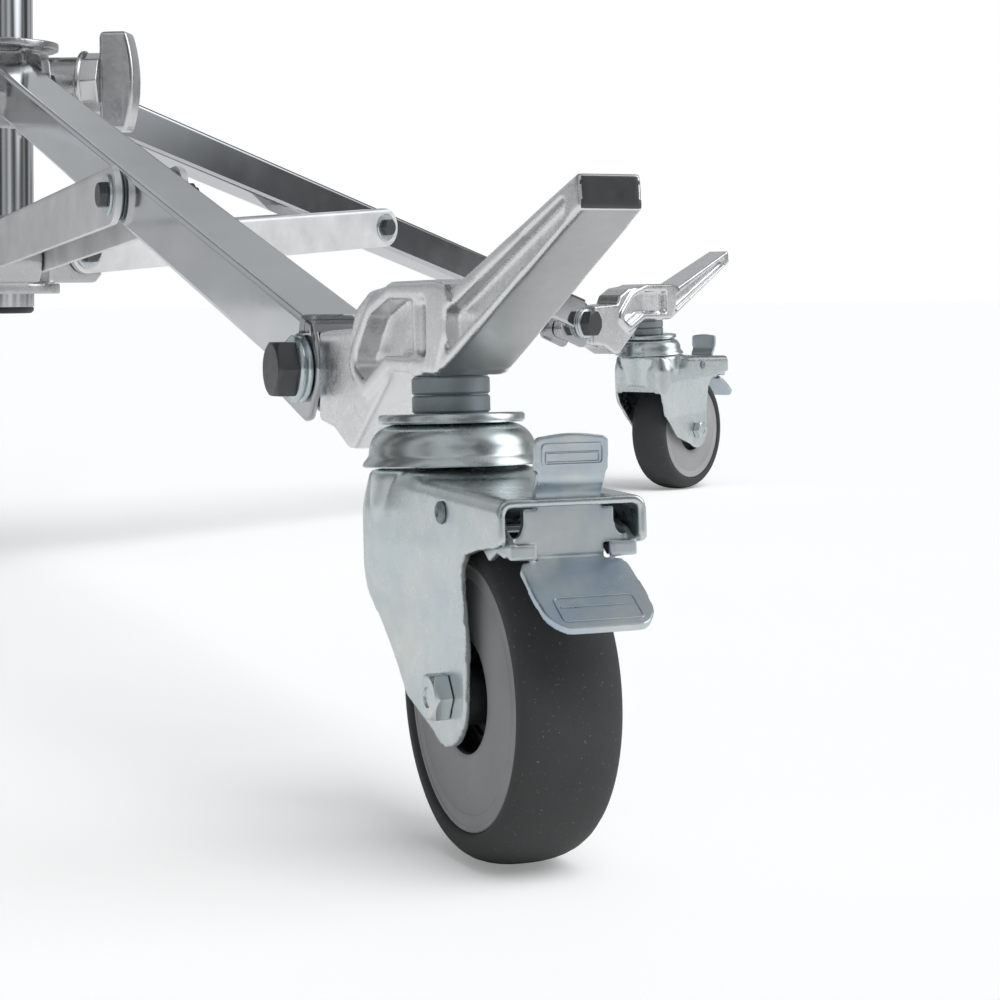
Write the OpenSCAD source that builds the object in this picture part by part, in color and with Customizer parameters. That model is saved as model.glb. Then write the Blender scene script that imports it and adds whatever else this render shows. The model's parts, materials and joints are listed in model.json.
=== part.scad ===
// Rolling overhead stand: three folding legs on braked casters round a telescopic column.
// Millimetres and degrees. Z is up, the floor is z = 0 and leg 1 points along +X.
// The origin is on the floor in the middle of the footprint.

/* [Stance] */
// Distance from the column axis to each caster's swivel axis
foot_reach = 712; // [700:1:730]
// Slope of the open legs below the horizontal
leg_slope = 14.3; // [13.5:0.1:15]
// Slope of the open braces, rising outwards
brace_slope = 3.9; // [3:0.1:5]
// Distance from the column axis to the leg and brace pivots
pivot_radius = 62; // [62:1:65]
// Distance along a leg from its top pivot to its brace pivot
brace_station = 294; // [285:1:300]

/* [Legs and braces] */
// Outside size of the square leg tube
leg_size = 25; // [24:0.5:26]
// Wall of the leg tube
leg_wall = 2; // [1.5:0.25:2.5]
// Depth of a brace channel
brace_depth = 27; // [26:0.5:30]
// Thickness of the brace channel's walls
brace_wall = 3; // [2.5:0.25:3.5]
// Gap between a leg's side and the brace's cheek, filled by a washer
brace_gap = 1.5; // [1:0.25:2]
// Diameter of the pivot bolts
pivot_d = 8; // [7:0.5:9]

/* [Foot casting] */
// Distance from the swivel axis back to the leg bolt
bolt_back = 112; // [108:1:116]
// Height of the leg bolt above the caster's top washer
bolt_up = 12.5; // [11:0.5:14]
// Distance of the leg bolt below the leg's centre line
bolt_below = 6.6; // [6:0.1:7.5]
// Diameter of the leg bolt
foot_bolt_d = 12; // [11:0.5:13]
// Width of the casting's body
foot_w = 25; // [24:0.5:27]
// Width of the casting's web between its rims
foot_web = 8; // [7:0.5:10]
// Reach of the horn's tip beyond the swivel axis
horn_reach = 113; // [105:1:118]
// Width of the horn at its tip
horn_tip_w = 19; // [17:0.5:21]

/* [Caster] */
// Diameter of the wheel over the tyre
wheel_d = 100; // [96:1:102]
// Width of the tyre
tyre_w = 32; // [30:0.5:33]
// Radius of the hub under the tyre
hub_r = 40; // [39:0.5:41]
// Distance from the swivel axis to the wheel's axle
trail = 39; // [37:0.5:41]
// Height of the caster's top washer above the axle, along the swivel axis
axle_drop = 81.2; // [81:0.2:83]
// Tilt of the swivel axis, its top towards the column
caster_lean = 3; // [2:0.25:4]
// Outside width of the fork at its crown
fork_w = 46; // [45:0.5:48]
// Outside width of the fork at the axle
fork_axle_w = 41; // [40.5:0.25:42]
// Thickness of the fork's pressed plate
fork_plate = 2.5; // [2:0.25:3]
// Diameter of the swivel cap
cap_d = 54.4; // [53:0.2:56]
// Diameter of the wheel's axle bolt
axle_d = 8; // [7:0.5:9]

/* [Column] */
// Diameter of the outer column tube
column_d = 50; // [48:0.5:50]
// Wall of the column tube and both risers
tube_wall = 2; // [1.5:0.25:2]
// Distance from the brace pivots down to the column tube's lower end
column_below = 33.5; // [33:0.5:36]
// Length of the column tube
column_len = 1300; // [1200:10:1400]
// Diameter of the lower riser
riser_1_d = 42; // [41:0.5:42]
// Diameter of the upper riser
riser_2_d = 35; // [34:0.5:35]
// Bore of the socket at the top
socket_d = 28.6; // [28.6, 28.8]
// Depth of the socket at the top
socket_depth = 75; // [60:1:80]

/* [Handles] */
// Length of a clamping handle's bar
handle_len = 62; // [56:1:66]
// Width of a clamping handle's bar
handle_w = 20; // [18:0.5:22]
// Diameter of a clamping screw
screw_d = 12; // [10:0.5:12]

/* [Fits] */
// Radial running clearance of a turning or sliding fit
running = 0.1; // [0.08:0.01:0.15]
// Radial clearance round a fixed bolt
bolt_clear = 0.2; // [0.15:0.05:0.3]
// Gap kept between bodies that move past each other
free_gap = 0.3; // [0.3:0.05:0.5]

/* [Hidden] */
$fn = 64;
LEGS = [1, 2, 3];
LEG_PARTS = ["brace", "brace_pin", "leg_tube", "leg_yoke", "foot_casting", "foot_bolt", "caster_stem",
    "swivel_cap", "fork", "brake_pivot", "brake_pedal", "axle", "hub", "tyre"];

// Metal colours of the visible pieces
chrome = "#c9ced4";
cast = "#dcdddd";
zinc = "#b9c6c8";
steel_dark = "#5f6264";
spacer_grey = "#8f999b";
rubber = "#3b3c3d";
hub_grey = "#8c8b8d";
nylon = "#2b2d2f";

// Heights along the swivel axis, from the caster's top washer
washer_t = 3;
washer_r = 23;
spacer_t = 5.7;
spacer_r = 12.3;
ring_gap = 0.1;
spacers_base = washer_t / 2 + ring_gap;
seat_up = spacers_base + 2 * (spacer_t + ring_gap);
cap_top = -washer_t / 2 - ring_gap;
cap_drop = 13;
cap_base = cap_top - cap_drop;
crown_top = cap_base - free_gap - 2.5;
roof_bend_x = 20;
roof_slope = 4.2;
roof_edge_r = 4.5;
fork_end_r = 15;
stem_r = 6;
stem_top = 34;

fork_front = 88;
pedal_x = 83.7;
pedal_t = 2.5;
pedal_slope = 53;
pedal_bend_z = -39.6;
tab_x = 88;
tab_bend_z = -18.7;
lip_x = 88;
brake_x = 46.5;
brake_z = -27;
brake_pin_r = 2.75;
hub_boss_half = fork_axle_w / 2 - fork_plate - free_gap;

// The caster's place over the floor
wheel_r = wheel_d / 2;
swivel_z = wheel_r + axle_drop * cos(caster_lean) - trail * sin(caster_lean);

// The leg line from its top pivot to the foot bolt
leg_bolt_x = (foot_reach - bolt_back - pivot_radius + bolt_below * sin(leg_slope)) / cos(leg_slope);
leg_pivot_z = swivel_z + bolt_up + leg_bolt_x * sin(leg_slope) + bolt_below * cos(leg_slope);
leg_end_x = leg_bolt_x - 3;
leg_head = 13;
leg_half = leg_size / 2;

// The brace line from the column base to the leg
brace_run = brace_station * cos(leg_slope);
brace_len = brace_run / cos(brace_slope);
brace_pivot_z = leg_pivot_z - brace_station * sin(leg_slope) - brace_run * tan(brace_slope);
brace_half = leg_half + brace_gap + brace_wall;
brace_end_r = brace_depth / 2;
brace_web_cut = 92;
brace_web_start = 24;
pivot_r = pivot_d / 2;
through = 100;
pivot_head_t = 5;
pivot_head_af = 13;

// The folded steel yoke inside each leg's outer end
yoke_w = leg_size - 2 * leg_wall - 0.1;
yoke_wall = 2.5;

// The column, its clamps and the risers
column_r = column_d / 2;
column_foot_z = brace_pivot_z - column_below;
column_top = column_foot_z + column_len;
riser_1_r = riser_1_d / 2;
riser_2_r = riser_2_d / 2;
clamp_wall = 6;
clamp_grip = 48;
clamp_over = 24;
clamp_boss_r = 15;
clamp_boss_len = 16;
clamp_rest = column_top + clamp_over + free_gap;
riser_1_top = clamp_rest + clamp_grip - 4;
socket_rest = riser_1_top + clamp_over + free_gap;
riser_2_top = socket_rest + 30;
socket_floor = riser_2_top + 4;
socket_screw_z = socket_floor + socket_depth - 30;
riser_1_base = column_foot_z + 30;
riser_2_base = riser_1_base + 20;
bush_len = 60;

// The sliding collar that carries the legs' top ends
collar_bore_r = column_r + 2 * running;
collar_r = 34;
collar_top = leg_pivot_z + 30;
collar_base = leg_pivot_z - 21;
collar_flange_r = 40;
collar_flange_t = 5;
cheek_gap = 0.8;
cheek_in = leg_half + cheek_gap;
cheek_t = 5.5;
cheek_reach = 16;
collar_screw_up = 6;
collar_boss_face = 50;

// The fixed base that carries the braces' inner ends
base_r = 34;
base_up = 20;
base_down = 25.5;
base_flange_t = 6;
base_top = brace_pivot_z + base_up;
base_bottom = brace_pivot_z - base_down;
base_flange_r = 40;
tongue_half = leg_half + brace_gap - cheek_gap;
tongue_drop = 19;
tongue_reach = 17;

// The footprint's middle, measured from the column axis along leg 1
horn_top = 72;
footprint_back = (foot_reach + horn_reach) / 2 + horn_tip_w / 2 * sin(60);
column_x = (footprint_back - foot_reach - horn_reach) / 2;

// Frames of the pieces

module on_spoke(i) {
    translate([column_x, 0, 0]) rotate([0, 0, 120 * (i - 1)]) children();
}

module on_column() {
    translate([column_x, 0, 0]) children();
}

module on_leg(i) {
    on_spoke(i) translate([pivot_radius, 0, leg_pivot_z]) rotate([0, leg_slope, 0]) children();
}

module on_brace(i) {
    on_spoke(i) translate([pivot_radius, 0, brace_pivot_z]) rotate([0, -brace_slope, 0]) children();
}

module on_foot(i) {
    on_spoke(i) translate([foot_reach, 0, swivel_z]) children();
}

module on_caster(i) {
    on_foot(i) rotate([0, -caster_lean, 0]) children();
}

module on_wheel(i) {
    on_caster(i) translate([trail, 0, -axle_drop]) rotate([90, 0, 0]) children();
}

// Turns a profile drawn in X and Z into a plate centred on y = 0
module plate_xz(w) {
    rotate([90, 0, 0]) linear_extrude(w, center = true) children();
}

// Turns a profile drawn in Y and Z into a bar along +X
module bar_yz(l) {
    rotate([90, 0, 90]) linear_extrude(l) children();
}

module cross_bore(r, l) {
    rotate([90, 0, 0]) cylinder(r = r, h = l, center = true);
}

module hex_prism(af, h) {
    cylinder(d = af / cos(30), h = h, $fn = 6);
}

module ring(r_out, r_in, h) {
    difference() {
        cylinder(r = r_out, h = h);
        translate([0, 0, -1]) cylinder(r = r_in, h = h + 2);
    }
}

// A bolt along Y through a joint, its head at -Y and its nut at +Y
module cross_bolt(r, af, head_t, half_span) {
    translate([0, -half_span, 0]) rotate([90, 0, 0]) {
        hex_prism(af, head_t);
        cylinder(r = af * 0.47, h = head_t + 0.4);
    }
    cross_bore(r, 2 * half_span + 0.02);
    translate([0, half_span, 0]) rotate([-90, 0, 0]) {
        hex_prism(af, head_t + 1);
        cylinder(r = r, h = head_t + 3);
    }
}

// Legs and braces

module brace_side() {
    union() {
        translate([0, -brace_depth / 2]) square([brace_len, brace_depth]);
        circle(r = brace_end_r);
        translate([brace_len, 0]) circle(r = brace_end_r);
    }
}

module brace(i) {
    inside = brace_half - brace_wall;
    color(cast) on_brace(i) difference() {
        plate_xz(2 * brace_half) brace_side();
        translate([-brace_depth, -inside, -brace_depth])
            cube([brace_depth + brace_web_start, 2 * inside, 2 * brace_depth]);
        translate([brace_len - brace_web_cut, -inside, -brace_depth])
            cube([brace_web_cut + brace_depth, 2 * inside, 2 * brace_depth]);
        translate([0, -inside, -brace_depth]) cube([brace_len, 2 * inside, brace_depth + brace_end_r - brace_wall]);
        cross_bore(pivot_r + running, 4 * brace_half);
        translate([brace_len, 0, 0]) cross_bore(pivot_r + bolt_clear, 4 * brace_half);
    }
}

module brace_pin(i) {
    color(steel_dark) on_brace(i) translate([brace_len, 0, 0]) {
        cross_bolt(pivot_r, pivot_head_af - 2, pivot_head_t, brace_half + 0.05);
        for (side = [-1, 1])
            translate([0, side * (leg_half + brace_gap / 2), 0]) rotate([90, 0, 0])
                translate([0, 0, -(brace_gap / 2 - ring_gap)])
                    ring(brace_end_r - 2, pivot_r + ring_gap, brace_gap - 2 * ring_gap);
    }
}

module leg_tube(i) {
    inner = leg_size - 2 * leg_wall;
    sleeve_r = pivot_r + 3;
    sleeve_len = leg_size - 0.5;
    slot_len = 26;
    color(chrome) on_leg(i) difference() {
        union() {
            difference() {
                translate([-leg_head, -leg_half, -leg_half])
                    cube([leg_head + leg_end_x, leg_size, leg_size]);
                translate([-leg_head - 1, -inner / 2, -inner / 2])
                    cube([leg_head + leg_end_x + 2, inner, inner]);
            }
            cross_bore(sleeve_r, sleeve_len);
            translate([brace_station, 0, 0]) cross_bore(sleeve_r, sleeve_len);
        }
        cross_bore(pivot_r + running, through);
        translate([brace_station, 0, 0]) cross_bore(pivot_r + running, through);
        translate([leg_end_x - slot_len, -inner / 2, -leg_half - 1])
            cube([slot_len + 1, inner, leg_wall + 2]);
        translate([leg_bolt_x, 0, -bolt_below]) cross_bore(foot_bolt_d + 0.6, through);
    }
}

// Folded steel end of the leg, standing out round the foot bolt
module leg_yoke(i) {
    inner = yoke_w - 2 * yoke_wall;
    top_z = yoke_w / 2;
    tail = 60;
    lip = 6;
    ear_r = 14;
    lobe_r = 20;
    color(chrome) on_leg(i) difference() {
        plate_xz(yoke_w) union() {
            translate([leg_end_x - tail, -top_z]) square([tail + lip, 2 * top_z]);
            translate([leg_bolt_x, -bolt_below]) circle(r = ear_r);
            translate([leg_bolt_x - 2, -bolt_below]) intersection() {
                circle(r = lobe_r);
                translate([-lobe_r, -lobe_r]) square([lobe_r + 11, lobe_r]);
            }
        }
        translate([leg_end_x - tail - 1, -inner / 2, -2 * lobe_r])
            cube([tail + through, inner, 2 * lobe_r + top_z - yoke_wall]);
        translate([leg_bolt_x, 0, -bolt_below]) cross_bore(foot_bolt_d / 2 + bolt_clear, through);
    }
}

// Side outline of the foot's body: arm, hump and stem block
module foot_body_side() {
    polygon([[-95, -5], [-95, 26], [-62, 27.5], [-58, 34], [-45, 40], [-22, 42.5], [16, 43], [26, 41.5],
        [30, 38], [24, 20], [17, 14], [-24, 13.7], [-60, -13], [-66, -13], [-80, -7]]);
}

// Side outline of the raised rim round the hump
module foot_rim_side() {
    polygon([[-60, 20], [-61, 14], [-47, 4.5], [-24, 15.6], [17, 15.6], [30, 36], [26, 42], [16, 43.5],
        [-22, 43], [-43, 36.5]]);
}

// Side outline of the hollow inside the rim
module foot_pocket_side() {
    polygon([[-54, 19], [-54, 15], [-46, 10.5], [-27, 19.5], [9, 20], [9, 37.5], [-24, 37.5], [-42, 32]]);
}

module horn_side() {
    polygon([[17, 14.2], [horn_reach + 1.5, horn_top - 10.2], [horn_reach, horn_top], [4, 32]]);
}

// Side outline of the tapered recess in the horn
module horn_slot_side() {
    end_x = horn_reach - 9;
    end_z = horn_top - 9.6;
    end_r = 3.1;
    polygon([[24, 34], [24, 21.1], [end_x, end_z - end_r], [end_x, end_z + end_r]]);
    translate([end_x, end_z]) circle(r = end_r);
}

module foot_casting(i) {
    tang_w = yoke_w - 2 * yoke_wall - 0.4;
    tang_down = 13;
    tang_up = 7.5;
    stem_block_r = 12.2;
    slot_from = 6.5;
    color(cast) difference() {
        union() {
            on_leg(i) plate_xz(tang_w) translate([leg_bolt_x - 14, -bolt_below - tang_down])
                square([36, tang_down + bolt_below + tang_up]);
            on_foot(i) plate_xz(foot_w - 3) foot_body_side();
            on_foot(i) plate_xz(foot_w) foot_rim_side();
            on_foot(i) intersection() {
                plate_xz(foot_w) horn_side();
                linear_extrude(100) polygon([[0, -foot_w / 2], [horn_reach + 5, -horn_tip_w / 2],
                    [horn_reach + 5, horn_tip_w / 2], [0, foot_w / 2]]);
            }
            on_caster(i) translate([0, 0, seat_up]) cylinder(r = stem_block_r, h = 24);
        }
        for (side = [-1, 1]) on_foot(i) {
            translate([0, side * (slot_from + 20), 0]) plate_xz(40) horn_slot_side();
            difference() {
                translate([0, side * (foot_web / 2 + 20), 0]) plate_xz(40) foot_pocket_side();
                rotate([0, -caster_lean, 0]) cylinder(r = stem_block_r, h = 60);
            }
        }
        on_caster(i) cylinder(r = stem_r + running, h = stem_top + 0.5);
        on_foot(i) translate([-bolt_back, 0, bolt_up]) cross_bore(foot_bolt_d / 2 + bolt_clear, through);
    }
}

module foot_bolt(i) {
    washer_face = yoke_w / 2 + 0.05;
    wash_t = 2.5;
    color(steel_dark) on_foot(i) translate([-bolt_back, 0, bolt_up]) {
        cross_bolt(foot_bolt_d / 2, 19, 7.5, washer_face + 2 * wash_t + 0.1);
        for (side = [-1, 1]) for (step = [0, 1])
            translate([0, side * (washer_face + wash_t / 2 + step * (wash_t + 0.05)), 0]) rotate([90, 0, 0])
                translate([0, 0, -wash_t / 2]) ring(foot_bolt_d, foot_bolt_d / 2 + ring_gap, wash_t);
    }
}

// Casters

module caster_stem(i) {
    rivet_top = crown_top - fork_plate - free_gap;
    color(spacer_grey) on_caster(i) {
        translate([0, 0, rivet_top - 3]) cylinder(r = stem_r, h = stem_top - rivet_top + 3);
        translate([0, 0, rivet_top - 4]) cylinder(r = stem_r + 4, h = 4);
        for (step = [0, 1])
            translate([0, 0, spacers_base + step * (spacer_t + ring_gap)]) difference() {
                rotate_extrude() polygon([[0, 0], [spacer_r - 0.6, 0], [spacer_r, 0.6],
                    [spacer_r, spacer_t - 0.6], [spacer_r - 0.6, spacer_t], [0, spacer_t]]);
                translate([0, 0, -1]) cylinder(r = stem_r + ring_gap, h = spacer_t + 2);
            }
        translate([0, 0, -washer_t / 2]) difference() {
            rotate_extrude() polygon([[0, 0], [washer_r - 0.5, 0], [washer_r, 0.5],
                [washer_r, washer_t - 0.7], [washer_r - 0.7, washer_t], [0, washer_t]]);
            translate([0, 0, -1]) cylinder(r = stem_r + ring_gap, h = washer_t + 2);
        }
    }
}

// Pressed cap over the swivel balls
module swivel_cap(i) {
    cap_r = cap_d / 2;
    round_r = 8.5;
    skirt_w = 3.2;
    skirt_h = 3.5;
    color(zinc) on_caster(i) translate([0, 0, cap_base]) difference() {
        rotate_extrude() polygon(concat([[0, cap_drop], [0, 0], [cap_r, 0], [cap_r - 0.6, 2.5]],
            [for (a = [0:15:90])
                [cap_r - 1.4 - round_r + round_r * cos(a), cap_drop - round_r + round_r * sin(a)]]));
        translate([0, 0, -1]) cylinder(r = cap_r - skirt_w, h = skirt_h + 1);
        translate([0, 0, -1]) cylinder(r = stem_r + ring_gap, h = cap_drop + 2);
    }
}

module fork_side_profile() {
    polygon([[-19, crown_top + 1], [fork_front, crown_top + 1], [fork_front, -34.5], [86, -35.8], [72, -37],
        [62, -39], [58, -42.5], [56, -47], [55, -62],
        [trail + fork_end_r, -axle_drop + 2], [trail, -axle_drop - fork_end_r], [24, -94.6], [0, -74.6], [-9, -66],
        [-15, -57], [-19, -34]]);
    translate([trail, -axle_drop]) circle(r = fork_end_r);
}

// Plan of the fork's outside, or of its inside when inset by the plate
module fork_plan_profile(inset) {
    corner_r = 8;
    half = fork_w / 2 - inset;
    translate([corner_r - 19, -half]) square([120, 2 * half]);
    translate([inset - 19, corner_r - fork_w / 2]) square([120, fork_w - 2 * corner_r]);
    for (side = [-1, 1])
        translate([corner_r - 19, side * (fork_w / 2 - corner_r)]) circle(r = corner_r - inset);
}

// Front view of the fork, narrower at the axle than at the crown
module fork_front_profile(inset) {
    crown_half = fork_w / 2 - inset;
    axle_half = fork_axle_w / 2 - inset;
    flat_z = fork_end_r - axle_drop;
    polygon([[-crown_half, 0], [-crown_half, -40], [-axle_half, flat_z], [-axle_half, -120],
        [axle_half, -120], [axle_half, flat_z], [crown_half, -40], [crown_half, 0]]);
}

// The crown's cross-section with its rounded long edges, or its inside
module roof_section(inset) {
    edge_r = roof_edge_r - inset;
    half = fork_w / 2 - inset;
    arc = [for (a = [0:22.5:90]) [half - edge_r + edge_r * cos(a), edge_r * sin(a) - edge_r]];
    polygon(concat([[half, -130]], arc, [for (n = [0:4]) [-arc[4 - n][0], arc[4 - n][1]]], [[-half, -130]]));
}

// Level over the swivel, then sloping down to the front
module fork_roof(inset) {
    translate([-60, 0, crown_top - inset]) bar_yz(60 + roof_bend_x) roof_section(inset);
    translate([roof_bend_x, 0, crown_top - inset]) rotate([0, roof_slope, 0]) bar_yz(120) roof_section(inset);
}

module fork_prism(inset) {
    intersection() {
        translate([0, 0, -130]) linear_extrude(140) fork_plan_profile(inset);
        translate([-60, 0, 0]) bar_yz(200) fork_front_profile(inset);
    }
}

module fork(i) {
    race_r = cap_d / 2 - 1.7;
    roof = crown_top - fork_plate;
    slot = [7, 25];
    color(zinc) on_caster(i) difference() {
        union() {
            intersection() {
                plate_xz(200) fork_side_profile();
                fork_prism(0);
                fork_roof(0);
            }
            translate([0, 0, roof]) cylinder(r = race_r, h = fork_plate);
            translate([0, 0, crown_top - 0.5]) cylinder(r = race_r - 1.6, h = 3);
        }
        intersection() {
            fork_roof(fork_plate);
            fork_prism(fork_plate);
        }
        cylinder(r = stem_r + running, h = 60, center = true);
        translate([pedal_x - slot[0] / 2, -slot[1] / 2, -40]) cube([slot[0], slot[1], 40]);
        translate([trail, 0, -axle_drop]) cross_bore(axle_d / 2 + bolt_clear, through);
        translate([brake_x, 0, brake_z]) cross_bore(brake_pin_r + 0.05, through);
    }
}

// Riveted pin that the brake pedal turns on
module brake_pivot(i) {
    head_r = 3.9;
    head_t = 1;
    color(spacer_grey) on_caster(i) translate([brake_x, 0, brake_z]) {
        cross_bore(brake_pin_r, fork_w + 0.2);
        for (side = [-1, 1])
            translate([0, side * (fork_w / 2 + 0.1 + head_t / 2), 0]) cross_bore(head_r, head_t);
    }
}

// Side view of the pedal's sheet: through the crown's slot, then forwards to the release tab
module tab_side() {
    polygon([[tab_x + 1, -3], [tab_x - 0.3, tab_bend_z + 1.1], [pedal_x + pedal_t / 2, -20.8],
        [pedal_x + pedal_t / 2, pedal_bend_z], [pedal_x - pedal_t / 2, pedal_bend_z],
        [pedal_x - pedal_t / 2, -19.9], [tab_x - 0.3 - pedal_t, tab_bend_z + 2.1], [tab_x + 1 - pedal_t, -3]]);
}

// Front view of the same sheet: tab, neck in the slot, wide plate and the lower pedal's neck
module pedal_front() {
    polygon([[-10.1, -23], [-10.6, -15.4], [-11.3, -14.6], [-11.3, -6.2], [-9.4, -4.6], [0, -4.1], [9.4, -4.6],
        [11.3, -6.2], [11.3, -14.6], [10.6, -15.4], [10.1, -23], [10.1, -25.4], [14, -25.4], [14, -29.5],
        [15, -31.8], [19, -33.4], [19, -35.2], [10.5, -35.6], [10.5, -50], [-10.5, -50], [-10.5, -35.6],
        [-19, -35.2], [-19, -33.4], [-15, -31.8], [-14, -29.5], [-14, -25.4], [-10.1, -25.4]]);
}

// Side view of an arm, with the toothed lower edge that holds the brake
module brake_arm_side() {
    polygon([[pedal_x - pedal_t / 2, -31.4], [lip_x, -35.2], [lip_x, -39.4], [84.7, -38.4], [83, -39],
        [77.8, -37.6], [72.3, -40.2], [67.5, -36.6], [60, -33.5], [brake_x - 2, -31.5], [brake_x - 5, -27],
        [brake_x - 4, -23.4], [60, -25]]);
}

// Brake pedal: one sheet with release tab and lower pedal, two side arms with lips, and the shoe
module brake_pedal(i) {
    arm_out = fork_w / 2 - fork_plate - 0.9;
    arm_t = 2;
    lip_in = 11.4;
    color(zinc) on_caster(i) difference() {
        union() {
            intersection() {
                plate_xz(60) tab_side();
                bar_yz(120) pedal_front();
            }
            translate([pedal_x, 0, pedal_bend_z]) rotate([0, -pedal_slope, 0]) translate([-pedal_t / 2, 0, 0])
                bar_yz(pedal_t) polygon([[-10.3, 1], [-10.3, -1.6], [-15, -2.8], [-16.3, -4.4], [-17, -16],
                    [-16.2, -24.5], [-14, -28.3], [-9, -30.2], [9, -30.2], [14, -28.3], [16.2, -24.5], [17, -16],
                    [16.3, -4.4], [15, -2.8], [10.3, -1.6], [10.3, 1]]);
            for (side = [-1, 1]) translate([0, side * (arm_out - arm_t / 2), 0]) {
                plate_xz(arm_t) brake_arm_side();
                translate([lip_x - arm_t, -side * (arm_out - arm_t / 2 - (arm_out + lip_in) / 2), -37.3])
                    cube([2 * arm_t, arm_out - lip_in, 4.2], center = true);
            }
            // shoe over the tyre
            translate([56, 0.5 - arm_out, -33]) cube([9, 2 * arm_out - 1, 2.2]);
        }
        translate([brake_x, 0, brake_z]) cross_bore(brake_pin_r + running, through);
    }
}

module axle(i) {
    span = fork_axle_w / 2 + 0.2;
    color(zinc) on_caster(i) translate([trail, 0, -axle_drop]) {
        cross_bolt(axle_d / 2, 13, 5.3, span);
        for (side = [-1, 1])
            translate([0, side * (hub_boss_half + 0.05 + 0.1), 0]) rotate([90, 0, 0])
                translate([0, 0, -0.1]) ring(6.5, axle_d / 2 + ring_gap, 0.2);
    }
}

// Grey wheel disc with a recess round its bearing boss on each face
module hub(i) {
    rim_half = 15;
    lip_half = rim_half - 0.4;
    recess_r = 17;
    boss_r = 9;
    web_half = 7;
    color(hub_grey) on_wheel(i) rotate_extrude()
        polygon([[axle_d / 2 + running, -hub_boss_half], [boss_r, -hub_boss_half], [boss_r, -web_half],
            [recess_r, -web_half], [recess_r, -rim_half + 1.2], [recess_r + 1, -lip_half],
            [hub_r - 2.5, -lip_half], [hub_r - 1.5, -rim_half], [hub_r, -rim_half],
            [hub_r, rim_half], [hub_r - 1.5, rim_half], [hub_r - 2.5, lip_half],
            [recess_r + 1, lip_half], [recess_r, rim_half - 1.2], [recess_r, web_half],
            [boss_r, web_half], [boss_r, hub_boss_half], [axle_d / 2 + running, hub_boss_half]]);
}

module tyre(i) {
    half = tyre_w / 2;
    crown_drop = 4;
    shoulder = 6;
    shoulder_at = wheel_r - crown_drop - shoulder;
    tread_half = half - shoulder * 0.75;
    crown_bow = 1.4;
    color(rubber) on_wheel(i) rotate_extrude()
        polygon(concat([[hub_r + 0.02, half - 0.8], [hub_r + 0.02, 0.8 - half], [hub_r + 1, -half]],
            [for (a = [-90:15:-30]) [shoulder_at + shoulder * cos(a), shoulder - half + shoulder * sin(a)]],
            [for (t = [-1:0.5:1]) [wheel_r - crown_bow * pow(t / 1.2, 2), t / 1.2 * tread_half]],
            [for (a = [30:15:90]) [shoulder_at + shoulder * cos(a), half - shoulder + shoulder * sin(a)]],
            [[hub_r + 1, half]]));
}

// Column and base

module column_tube() {
    color(chrome) on_column() translate([0, 0, column_foot_z]) ring(column_r, column_r - tube_wall, column_len);
}

module tongue_side() {
    polygon([[20, -tongue_drop], [10 + pivot_radius, -tongue_drop], [tongue_reach - 2 + pivot_radius, -tongue_drop + 5],
        [tongue_reach + pivot_radius, -tongue_drop + 11], [tongue_reach + pivot_radius, -2],
        [pivot_radius + 10, 7], [pivot_radius, 10], [pivot_radius - 12, 10], [20, 16]]);
}

module column_base() {
    color(cast) difference() {
        union() {
            on_column() translate([0, 0, base_bottom]) cylinder(r = base_r, h = base_top - base_bottom);
            on_column() translate([0, 0, base_bottom]) cylinder(r = base_flange_r, h = base_flange_t);
            for (i = LEGS) on_spoke(i) translate([0, 0, brace_pivot_z]) plate_xz(2 * tongue_half) tongue_side();
        }
        on_column() translate([0, 0, base_bottom - 1])
            cylinder(r = column_r + 0.05, h = base_top - base_bottom + 2);
        for (i = LEGS) on_spoke(i) translate([pivot_radius, 0, brace_pivot_z]) cross_bore(pivot_r + bolt_clear, through);
    }
}

module base_pins() {
    color(steel_dark) for (i = LEGS) on_spoke(i) translate([pivot_radius, 0, brace_pivot_z])
        cross_bolt(pivot_r, pivot_head_af, pivot_head_t, brace_half + free_gap);
}

// Plastic foot of the column, pushed up into the tube
module base_cap() {
    plug_r = column_r - tube_wall - 0.05;
    color(nylon) on_column() translate([0, 0, column_foot_z]) {
        translate([0, 0, -3.5]) cylinder(r1 = column_r - 1.5, r2 = column_r, h = 1.5);
        translate([0, 0, -2]) cylinder(r = column_r, h = 1.95);
        translate([0, 0, -1]) cylinder(r = plug_r, h = 17);
    }
}

// Cast clamp: grips one tube, guides the next and takes a clamping screw
module clamp_body(grip_r, guide_r, grip, over, bolt_at) {
    outer = grip_r + clamp_wall;
    on_column() difference() {
        union() {
            translate([0, 0, -grip]) cylinder(r = outer, h = grip + over);
            translate([0, 0, -grip]) cylinder(r = outer + 2, h = 6);
            translate([0, 0, over - 6]) cylinder(r = outer + 2, h = 6);
            rotate([0, 0, 60]) translate([guide_r + 3, 0, bolt_at]) rotate([0, 90, 0])
                cylinder(r = clamp_boss_r - 4, h = outer - guide_r + clamp_boss_len - 3);
            for (turn = [180, 300]) rotate([0, 0, turn])
                translate([outer - 1, -2.5, 2 - grip]) cube([3.5, 5, grip + over - 4]);
        }
        translate([0, 0, -grip - 1]) cylinder(r = grip_r + 0.05, h = grip + 1);
        translate([0, 0, -1]) cylinder(r = guide_r, h = over + 2);
        rotate([0, 0, 60]) translate([0, 0, bolt_at]) rotate([0, 90, 0])
            cylinder(r = screw_d / 2 + running, h = 100);
    }
}

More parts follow.
